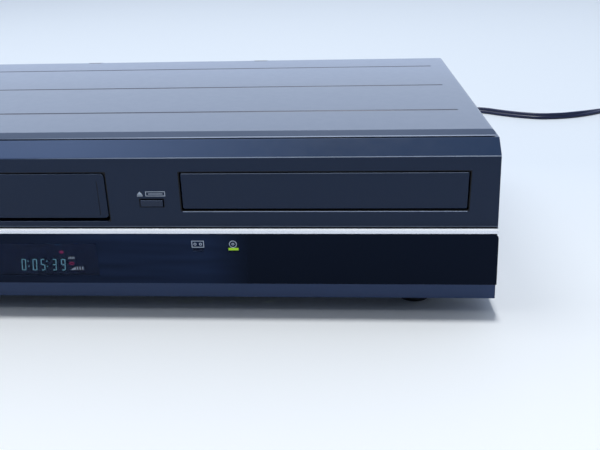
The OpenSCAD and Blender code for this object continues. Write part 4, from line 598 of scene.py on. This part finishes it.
# the keys' spray: nearly the same tone, a little more matt, with a painted highlight on the edges that look
# upwards
key_spray = finish("key_spray", "#1f2e48", 0.34, 0.3, 0.004, "#24344f", edge=0.4, IOR=1.35)
edge_highlights(key_spray, "#8b9bb8", 0.5)
coat(key_spray, "tray_eject_button", "cassette_eject_button")

# The door has a shallow upright groove near each end, where the finger rests when it is pushed in.
GROOVE_IN, GROOVE_HALF, GROOVE_DEPTH, GROOVE_FORCE = 5.4, 0.3, 0.4, 0.8
GROOVE_MIDDLE, GROOVE_REACH, GROOVE_RUNOUT = 66.2, 9.8, 0.5
door_low, door_high = (Vector(c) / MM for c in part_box("cassette_door"))
door_mid = (door_low.x + door_high.x) / 2
tree = door_spray.node_tree
spot = add(tree, "ShaderNodeSeparateXYZ", {"Vector": add(tree, "ShaderNodeTexCoord").outputs["Object"]})
sideways = add(tree, "ShaderNodeMath", {0: spot.outputs["X"], 1: door_mid * MM}, operation="SUBTRACT")
outwards = add(tree, "ShaderNodeMath", {0: sideways.outputs[0]}, operation="ABSOLUTE")
groove_out = door_high.x - door_mid - GROOVE_IN
from_line = add(tree, "ShaderNodeMath", {0: outwards.outputs[0], 1: groove_out * MM}, operation="SUBTRACT")
off_line = add(tree, "ShaderNodeMath", {0: from_line.outputs[0]}, operation="ABSOLUTE")
on_line = add(tree, "ShaderNodeMapRange", {"Value": off_line.outputs[0], "From Min": GROOVE_HALF * MM,
                                           "From Max": 0})
upwards = add(tree, "ShaderNodeMath", {0: spot.outputs["Z"], 1: GROOVE_MIDDLE * MM}, operation="SUBTRACT")
from_middle = add(tree, "ShaderNodeMath", {0: upwards.outputs[0]}, operation="ABSOLUTE")
in_reach = add(tree, "ShaderNodeMapRange", {"Value": from_middle.outputs[0], "From Min": GROOVE_REACH * MM,
                                            "From Max": (GROOVE_REACH - GROOVE_RUNOUT) * MM})
groove_and_shade = add(tree, "ShaderNodeMath", {0: on_line.outputs[0], 1: in_reach.outputs[0]},
             operation="MINIMUM").outputs[0]
shader = tree.nodes["Principled BSDF"]
grain_normal = shader.inputs["Normal"].links[0].from_socket
grooved = add(tree, "ShaderNodeBump", {"Height": groove_and_shade, "Distance": GROOVE_DEPTH * MM,
                                       "Strength": GROOVE_FORCE, "Normal": grain_normal}, invert=True)
tree.links.new(grooved.outputs["Normal"], shader.inputs["Normal"])
# painted shade darkens the groove
blended(door_spray, groove_and_shade, "#0a111e")
coat(door_spray, "cassette_door")

# ---- Power key and the keys behind the flap
# The power key is a round ABS cap, sprayed silver. The keys in the pocket behind the flap are bare
# ABS mouldings that snap into the front.
# silver spray: satin, with flakes too fine to see
silver_spray = finish("silver_key_spray", "#aab2bd", 0.34, 0.2, 0.004, "#b6bec8", edge=0.35, Metallic=0.6)
coat(silver_spray, "power_button")
# charcoal ABS: dull, with the fine grain of a spark-eroded mould
charcoal = finish("charcoal_abs", "#2b2e36", 0.5, 0.25, 0.012, "#25282f", edge=0.3, IOR=1.4)
coat(charcoal, "stop_button", "play_button", "record_button", "channel_rocker")

# ---- Bright strip
# An extruded ABS strip with hot-stamped silver foil, clipped over the joint between the face and
# the smoked panel.
# silver foil: bright, with faint lines drawn lengthwise, and a painted highlight in pure white over its ridge
STRIP_RIDGE = 48.2
silver_foil = finish("silver_foil", "#e3e6f0", 0.26, 0.25, 0.003, "#e9ecf4", stretch=(0.04, 1, 1), edge=0.4,
                     Metallic=0.8)
blended(silver_foil, above(silver_foil.node_tree, "Z", STRIP_RIDGE), "#ffffff")
coat(silver_foil, "trim_strip")

# ---- Smoked panel and flap
# Polished acrylic sheet, printed black on its back. The print leaves a window over the display
# tube and one over each lamp, where the smoked sheet lets light through.
tube_low, tube_high = (Vector(c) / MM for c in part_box("display_module"))
lens_low, lens_high = (Vector(c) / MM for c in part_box("led_lenses"))
WINDOW_RIM, LENS_RIM, LENS_W, LENS_H = 2.4, 1, 5.8, 2.3
lens_z = (lens_low.z + lens_high.z) / 2
lens_xs = (lens_low.x + LENS_W / 2 + LENS_RIM, lens_high.x - LENS_W / 2 - LENS_RIM)
windows = [((tube_low.x + tube_high.x) / 2, (tube_low.z + tube_high.z) / 2,
            (tube_high.x - tube_low.x) / 2 - WINDOW_RIM, (tube_high.z - tube_low.z) / 2 - WINDOW_RIM)]
windows += [(x, lens_z, LENS_W / 2, LENS_H / 2) for x in lens_xs]

# smoked acrylic: deep black and glossy, with a bluish reflection
SMOKE_TINT, CLEARNESS = (0.32, 0.49, 1, 1), 0.955
acrylic = finish("smoked_acrylic", "#020307", 0.05, 2.5, 0.0, "#020408", edge=0.35, uneven=0.3, IOR=1.28,
                 Specular_Tint=SMOKE_TINT)
tree = acrylic.node_tree
shader = tree.nodes["Principled BSDF"]
clear = 0
for x, z, half_w, half_h in windows:
    pane = overlap(tree, within(tree, "X", x, half_w), within(tree, "Z", z, half_h))
    clear = add(tree, "ShaderNodeMath", {0: clear, 1: pane}, operation="MAXIMUM").outputs[0]
tree.links.new(overlap(tree, clear, CLEARNESS), shader.inputs["Transmission Weight"])
# painted reflection: faint light streaks, slanted, on the left of the sheet
REFLECTION_TILT, STREAK_L, STREAK_H, STREAK_LEAST = math.radians(-15), 70, 7, 0.35
REFLECTION_LEFT, REFLECTION_RIGHT = (-110, 15), (84, 60)
slanted = add(tree, "ShaderNodeMapping", {"Vector": add(tree, "ShaderNodeTexCoord").outputs["Object"],
                                          "Rotation": (0, REFLECTION_TILT, 0),
                                          "Scale": (1 / (STREAK_L * MM), 1, 1 / (STREAK_H * MM))})
streaks = add(tree, "ShaderNodeTexNoise", {"Vector": slanted.outputs["Vector"], "Scale": 1, "Detail": 1})
streaks = add(tree, "ShaderNodeMapRange", {"Value": streaks.outputs["Fac"], "From Min": NOISE_LOW,
                                           "From Max": NOISE_HIGH, "To Min": STREAK_LEAST}).outputs["Result"]
panel_reflection = overlap(tree, streaks, ramp(tree, "X", *REFLECTION_RIGHT), ramp(tree, "X", *REFLECTION_LEFT))
blended(acrylic, panel_reflection, "#1f2c48")
blended(acrylic, clear, "#6b79a2")
coat(acrylic, "display_window")
# the flap's sheet: as black, a little less glossy from handling
flap_acrylic = finish("smoked_flap", "#03050a", 0.06, 2.5, 0.0, "#04060c", edge=0.35, uneven=0.3, IOR=1.33,
                      Specular_Tint=SMOKE_TINT)
coat(flap_acrylic, "front_flap")

# ---- Display
# A vacuum fluorescent tube: dark glass, with blue-green phosphor digits and a few red and white
# marks that glow behind it.
# tube glass: nearly black, with hardly a reflection behind the panel
tube_glass = finish("tube_glass", "#05080f", 0.1, 1, 0.0, IOR=1.12)
coat(tube_glass, "display_module")
GLOW_T = 0.04
glow_y = tube_low.y - GLOW_T
DIGIT_W, DIGIT_H, BAR, BAR_GAP, SLANT = 2.4, 6.9, 0.38, 0.12, math.tan(math.radians(7))
DIGITS_IN, DIGITS_Z = 32.6, 23.3
digits_x = tube_low.x + DIGITS_IN
# each digit's bars go by letters: a at the top, b to f clockwise from there, g across the middle
SEGMENTS = {"0": "abcdef", "3": "abcdg", "5": "acdfg", "9": "abcdfg"}
DIGITS = ((0, "0"), (6.3, "0"), (10.95, "5"), (17.4, "3"), (22.55, "9"))
COLON_XS, DOT, DOT_ZS = (4.05, 14.8), 0.55, (2.2, 5.3)


def plate(points, faces, outline, y, thick):
    """A flat shape in x and z, its front at y, as a thin closed plate."""
    start, n = len(points), len(outline)
    points += [(x, y, z) for x, z in outline] + [(x, y + thick, z) for x, z in outline]
    faces += [tuple(start + k for k in range(n)), tuple(start + n + k for k in reversed(range(n)))]
    faces += [(start + k, start + n + k, start + n + (k + 1) % n, start + (k + 1) % n) for k in range(n)]


def oblong(x0, x1, z0, z1):
    """The corners of an upright oblong."""
    return [(x0, z0), (x1, z0), (x1, z1), (x0, z1)]


def digit(x, z, name):
    """The lit bars of one seven-bar digit, their ends cut back so that they don't touch."""
    w, h, b, gap = DIGIT_W, DIGIT_H, BAR, BAR_GAP
    low, middle, high = z, z + h / 2, z + h
    across = (x + b + gap, x + w - b - gap)
    bars = {"a": (*across, high - b, high), "d": (*across, low, low + b),
            "g": (*across, middle - b / 2, middle + b / 2),
            "f": (x, x + b, middle + gap, high - gap), "e": (x, x + b, low + gap, middle - gap),
            "b": (x + w - b, x + w, middle + gap, high - gap),
            "c": (x + w - b, x + w, low + gap, middle - gap)}
    return [[(px + (pz - z) * SLANT, pz) for px, pz in oblong(*bars[k])] for k in SEGMENTS[name]]


def glow(name, colour, strength):
    """Phosphor: a pale powder that glows in one colour."""
    return finish(name, colour, 0.8, 0.2, 0.0, Emission_Color=linear(colour), Emission_Strength=strength)


def glowing(name, outlines, surface):
    """Flat shapes of phosphor on the tube's front."""
    points, faces = [], []
    for outline in outlines:
        plate(points, faces, outline, glow_y, GLOW_T)
    return piece(name, points, faces, "case", surface)


lit = []
for along_x, name in DIGITS:
    lit += digit(digits_x + along_x, DIGITS_Z, name)
for x in COLON_XS:
    lit += [oblong(digits_x + x, digits_x + x + DOT, DIGITS_Z + z, DIGITS_Z + z + DOT) for z in DOT_ZS]
# zinc oxide phosphor: pale blue-green through the smoked sheet
blue_green = glow("blue_green_phosphor", "#c4ffd4", 1.5)
glowing("display_digits", lit, blue_green)


def rounded(x, z, half_w, half_h, sides=20):
    """An oval outline about a middle."""
    return [(x + half_w * math.cos(2 * math.pi * k / sides), z + half_h * math.sin(2 * math.pi * k / sides))
            for k in range(sides)]


def hoop(points, faces, x, z, half_w, half_h, line, y, thick, sides=24):
    """An oval ring as a thin closed plate."""
    start = len(points)
    for depth in (y, y + thick):
        for less in (0, line):
            points += [(px, depth, pz) for px, pz in rounded(x, z, half_w - less, half_h - less, sides)]
    front_out, front_in, back_out, back_in = (start + sides * k for k in range(4))
    for k in range(sides):
        n = (k + 1) % sides
        faces += [(front_out + k, front_out + n, front_in + n, front_in + k),
                  (back_out + n, back_out + k, back_in + k, back_in + n),
                  (front_out + n, front_out + k, back_out + k, back_out + n),
                  (front_in + k, front_in + n, back_in + n, back_in + k)]


# red phosphor behind a red filter: a solid oval over the digits and an oval ring beside them
ember = glow("red_phosphor", "#b82c42", 1.8)
OVAL_X, OVAL_Z, OVAL_HALVES = 24.3, 11.2, (1.3, 0.9)
MARKS_IN, RING_X, RING_Z, RING_HALVES, RING_LINE = 27.2, 1.9, 4.3, (1.5, 0.9), 0.6
marks_x = digits_x + MARKS_IN
red_points, red_faces = [], []
plate(red_points, red_faces, rounded(digits_x + OVAL_X, DIGITS_Z + OVAL_Z, *OVAL_HALVES), glow_y, GLOW_T)
hoop(red_points, red_faces, marks_x + RING_X, DIGITS_Z + RING_Z, *RING_HALVES, RING_LINE, glow_y, GLOW_T)
piece("display_red_marks", red_points, red_faces, "case", ember)
# white phosphor: two rows of short bars, and a wedge like a level's sign
pale = glow("white_phosphor", "#fff4c8", 1.2)
# how many bars a row has, where it starts, the bars' pitch and width, their foot and their head
BAR_ROWS = ((4, 0.6, 0.95, 0.5, 7.0, 8.4), (3, 4.4, 1.5, 0.7, 0.3, 2.3))
WEDGE = ((0.6, 0.3), (3.8, 0.3), (3.8, 2.1))
bars = []
for count, first, pitch, width, foot, head in BAR_ROWS:
    for k in range(count):
        left = marks_x + first + pitch * k
        bars.append(oblong(left, left + width, DIGITS_Z + foot, DIGITS_Z + head))
bars.append([(marks_x + x, DIGITS_Z + z) for x, z in WEDGE])
glowing("display_white_marks", bars, pale)
# painted glow: two switched-off marks over the digits, given a weak glow so that they show faintly
dim_glow = glow("dim_phosphor", "#1d4a48", 0.9)
DIM_MARKS = ((16.2, 19.4, 16.2, 17.2), (21.4, 24.4, 15.2, 16.0))
glowing("display_dim_marks", [oblong(digits_x + x0, digits_x + x1, DIGITS_Z + z0, DIGITS_Z + z1)
                              for x0, x1, z0, z1 in DIM_MARKS], dim_glow)

# ---- Lamps
# Two light pipes, moulded in clear acrylic, carry light from the front board. The one for the disc
# side is lit in yellow-green.
LAMP_GLOW = 2.7
# clear and dark where nothing shines behind it
pipe = finish("light_pipe", "#06080a", 0.15, 1, 0.0, "#080a0d", IOR=1.12)
tree = pipe.node_tree
shader = tree.nodes["Principled BSDF"]
lit_pipe = within(tree, "X", lens_xs[1], LENS_W)
blended(pipe, lit_pipe, "#b4e62c")
shader.inputs["Emission Color"].default_value = linear("#d8ff22")
tree.links.new(overlap(tree, lit_pipe, LAMP_GLOW), shader.inputs["Emission Strength"])
coat(pipe, "led_lenses")

# ---- Printed signs
# White screen print, one ink layer thick: a cassette over the first lamp, a disc over the second,
# and the sign for opening, with a drawer, over the tray key.
PRINT_T, LINE, THIN_LINE = 0.02, 0.4, 0.35
# screen ink: flat white, very slightly grey
white_ink = finish("white_ink", "#c3cfdf", 0.6, 0.15, 0.0)
panel_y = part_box("display_window")[0][1] / MM


def frame_of(points, faces, x0, x1, z0, z1, line, y):
    """Four bars round an oblong."""
    for part in (oblong(x0, x1, z1 - line, z1), oblong(x0, x1, z0, z0 + line),
                 oblong(x0, x0 + line, z0 + line, z1 - line), oblong(x1 - line, x1, z0 + line, z1 - line)):
        plate(points, faces, part, y - PRINT_T, PRINT_T)


SIGN_Z, SHELL_HALF_W, SHELL_HALF_H, REEL_X, REEL_R, DISC_R, HOLE_R = 40.2, 3.4, 2, 1.5, 0.8, 2.1, 0.75
ink_points, ink_faces = [], []
frame_of(ink_points, ink_faces, lens_xs[0] - SHELL_HALF_W, lens_xs[0] + SHELL_HALF_W, SIGN_Z - SHELL_HALF_H,
         SIGN_Z + SHELL_HALF_H, LINE, panel_y)
for x, r, line, sides in ((lens_xs[0] - REEL_X, REEL_R, THIN_LINE, 24),
                          (lens_xs[0] + REEL_X, REEL_R, THIN_LINE, 24),
                          (lens_xs[1], DISC_R, LINE, 32), (lens_xs[1], HOLE_R, THIN_LINE, 24)):
    hoop(ink_points, ink_faces, x, SIGN_Z, r, r, line, panel_y - PRINT_T, PRINT_T, sides)
piece("panel_signs", ink_points, ink_faces, "case", white_ink)

# over the tray key: a triangle on a bar, then a drawer with a slot, with x from the key's middle
# and z from the sign's foot
FACE_Y, KEY_SIGN_Z = -118.5, 67.3
TRIANGLE = ((-7.6, 0.9), (-4.6, 0.9), (-6.1, 2.7))
SIGN_BAR, DRAWER, DRAWER_SLOT = (-7.6, -4.6, 0, 0.5), (-3, 7.6, 0, 2.7), (-1.6, 6.2, 1.1, 1.5)
key_low, key_high = (Vector(c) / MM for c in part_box("tray_eject_button"))
key_x = (key_low.x + key_high.x) / 2


def over_key(x0, x1, z0, z1):
    """An oblong of the sign in its place over the key."""
    return key_x + x0, key_x + x1, KEY_SIGN_Z + z0, KEY_SIGN_Z + z1


ink_points, ink_faces = [], []
plate(ink_points, ink_faces, [(key_x + x, KEY_SIGN_Z + z) for x, z in TRIANGLE], FACE_Y - PRINT_T, PRINT_T)
plate(ink_points, ink_faces, oblong(*over_key(*SIGN_BAR)), FACE_Y - PRINT_T, PRINT_T)
frame_of(ink_points, ink_faces, *over_key(*DRAWER), THIN_LINE, FACE_Y)
plate(ink_points, ink_faces, oblong(*over_key(*DRAWER_SLOT)), FACE_Y - PRINT_T, PRINT_T)
piece("tray_key_sign", ink_points, ink_faces, "case", white_ink)

# ---- Feet, belt and pinch roller
# The feet are moulded rubber, pushed into the pan. The belt is a ground rubber ring, and the pinch
# roller has a sleeve of the same rubber.
# rubber: matt black, with a dusty bloom
rubber = finish("foot_rubber", "#141416", 0.75, 0.6, 0.03, "#1a1a1d", edge=0.4)
coat(rubber, "feet", "tray_belt", "pinch_roller")

# ---- Front and rear sockets
# Phono sockets: a nickel barrel round a plastic core. The front ones are yellow, white and red
# mouldings. The rear ones stand in a black block and have a coloured collar each.
WHITE_FROM, RED_FROM, BARRELS_FROM = -190, -177, 111.7
# the front sockets' plastic: satin, coloured right through
front_core = finish("front_socket_plastic", "#c9a51e", 0.4, 0.4, 0.01, edge=0.2)
blended(front_core, above(front_core.node_tree, "X", WHITE_FROM), "#cfd2d4")
blended(front_core, above(front_core.node_tree, "X", RED_FROM), "#a02426")
coat(front_core, "front_jacks")
# the rear block: black, moulded, with plated barrels that stand out of it
jack_block = finish("jack_block_plastic", "#15161a", 0.5, 0.4, 0.012, "#1b1c20", edge=0.25)
blended(jack_block, above(jack_block.node_tree, "Y", BARRELS_FROM), "#b9b6ad", metallic=1)
coat(jack_block, "rear_jacks")
coat(nickel, "antenna_sockets")
PHONO_XS, PHONO_ZS = (-192.2, -178.2, -164.2, -146.2, -132.2, -118.2), (26, 42)
BARREL_R, COLLAR_ROOM, COLLAR_R, COLLAR_T, REAR_Y = 4.15, 0.05, 5.6, 1.1, 110.5


def collar_tree():
    """A flat ring with square edges on each point of the given mesh."""
    tree, given = points_tree("socket_collars", ("Outer radius", "Inner radius", "Thickness"))
    outer = add(tree, "GeometryNodeMeshCylinder", {"Vertices": 40, "Radius": given["Outer radius"],
                                                   "Depth": given["Thickness"]})
    deep = add(tree, "ShaderNodeMath", {0: given["Thickness"], 1: 2}, operation="MULTIPLY").outputs[0]
    inner = add(tree, "GeometryNodeMeshCylinder", {"Vertices": 40, "Radius": given["Inner radius"],
                                                   "Depth": deep})
    ring = add(tree, "GeometryNodeMeshBoolean", {"Mesh 1": outer.outputs["Mesh"]}, operation="DIFFERENCE",
               solver="EXACT")
    tree.links.new(inner.outputs["Mesh"], ring.inputs["Mesh 2"])
    spread(tree, given, ring.outputs["Mesh"])
    return tree


collar = collar_tree()
for k, (name, colour) in enumerate((("yellow", "#d8ad1f"), ("white", "#d9dcde"), ("red", "#b02024"))):
    # the collar's plastic: satin, coloured right through
    plastic = finish(name + "_socket_plastic", colour, 0.4, 0.4, 0.01)
    spots = [((x, REAR_Y + COLLAR_T / 2, z), (0, 1, 0)) for x in PHONO_XS[k::3] for z in PHONO_ZS]
    grown(name + "_collars", collar, spots,
          {"Outer radius": COLLAR_R * MM, "Inner radius": (BARREL_R + COLLAR_ROOM) * MM,
           "Thickness": COLLAR_T * MM, "Material": plastic}, "case")

# ---- Printed boards
# Phenolic boards with a lacquer over the copper, held on posts. What stands on them is dark moulded
# parts, and the tuner is in a tinned can.
BOARD_TOP, TUNER_X = 14.8, 13.4
# green lacquer over paper board: satin, mottled by the tracks under it
lacquer = finish("board_lacquer", "#2f4a2c", 0.35, 0.8, 0.01, "#3c5a34")
blended(lacquer, above(lacquer.node_tree, "Z", BOARD_TOP), "#1a1b1e")
blended(lacquer, above(lacquer.node_tree, "X", TUNER_X), "#b0b2b4", metallic=1)
coat(lacquer, "main_board")
# the two cheaper boards are bare brown paper board
front_lacquer = finish("front_board_lacquer", "#4a3b22", 0.4, 0.8, 0.01, "#55452a")
coat(front_lacquer, "front_board")
supply = front_lacquer.copy()
supply.name = "supply_lacquer"
blended(supply, above(supply.node_tree, "Z", BOARD_TOP), "#24252a")
coat(supply, "power_supply")

# ---- Deck: drum, capstan, heads, motors and arms
# The drum is turned from aluminium alloy. Shafts and arms are ground or pressed steel with a nickel
# finish, and the motor cans are drawn from plated steel.
# turned aluminium: bright, with fine rings round its sides
turned = finish("turned_aluminium", "#c2c5c9", 0.22, 0.5, 0.006, "#aeb2b7", stretch=(0.05, 0.05, 3), edge=0.3,
                Metallic=1)
coat(turned, "drum_base", "drum_rotor", "pickup_sled", "guide_carriage_left", "guide_carriage_right")
# ground steel: bright, with fine upright marks of the wheel
steel = finish("ground_steel", "#b4b4b2", 0.26, 0.4, 0.004, "#a4a4a3", stretch=(1, 1, 0.1), edge=0.15,
               Metallic=1)
coat(steel, "capstan", "pinch_arm", "tension_arm", "tape_heads")
# plated can: duller and cloudy, as a dipped coating is
can_plate = finish("plated_motor_can", "#8f9296", 0.32, 1.2, 0.008, "#83868b", edge=0.4, Metallic=0.95)
coat(can_plate, "deck_motors", "tray_motor")

# ---- Gears, reels and pulleys
# White and grey acetal mouldings that run on pins and shafts. The motor's pulley is turned brass,
# pressed on its shaft.
# white acetal: slightly waxy, a little creamy
acetal = finish("white_acetal", "#d6d3c8", 0.38, 0.6, 0.01, "#cbc8bc", edge=0.15)
coat(acetal, "tray_pinion", "pulley_gear", "sled_gear", "cam_gear", "loading_pinion")
# grey acetal: the same, coloured right through
grey_acetal = finish("grey_acetal", "#8b8d90", 0.4, 0.6, 0.01, "#7f8184", edge=0.2)
coat(grey_acetal, "supply_reel", "takeup_reel")
# brass: warm and bright, with fine rings from the lathe
brass = finish("turned_brass", "#b58f45", 0.25, 0.4, 0.005, "#a68240", stretch=(0.1, 0.1, 2), Metallic=1)
coat(brass, "motor_pulley")

# ---- Disc loader and holder slider
# Mouldings: glass-filled ABS for the loader's frame and the slider, plain ABS for the tray, and
# polycarbonate for the turntable and the puck.
# glass-filled ABS: black, dull, faintly mottled by the fibres
filled = finish("glass_filled_abs", "#202125", 0.55, 0.5, 0.02, "#2a2b30", edge=0.3)
coat(filled, "loader_frame", "holder_slider")
# dark grey ABS: smooth and even
tray_grey = finish("tray_abs", "#33363c", 0.45, 0.3, 0.012, "#2d3036", edge=0.35)
coat(tray_grey, "disc_tray")
# black polycarbonate: hard and a little glossy
hub = finish("hub_polycarbonate", "#17181b", 0.3, 0.4, 0.004, "#1d1e22", edge=0.25)
coat(hub, "turntable", "clamp_puck")
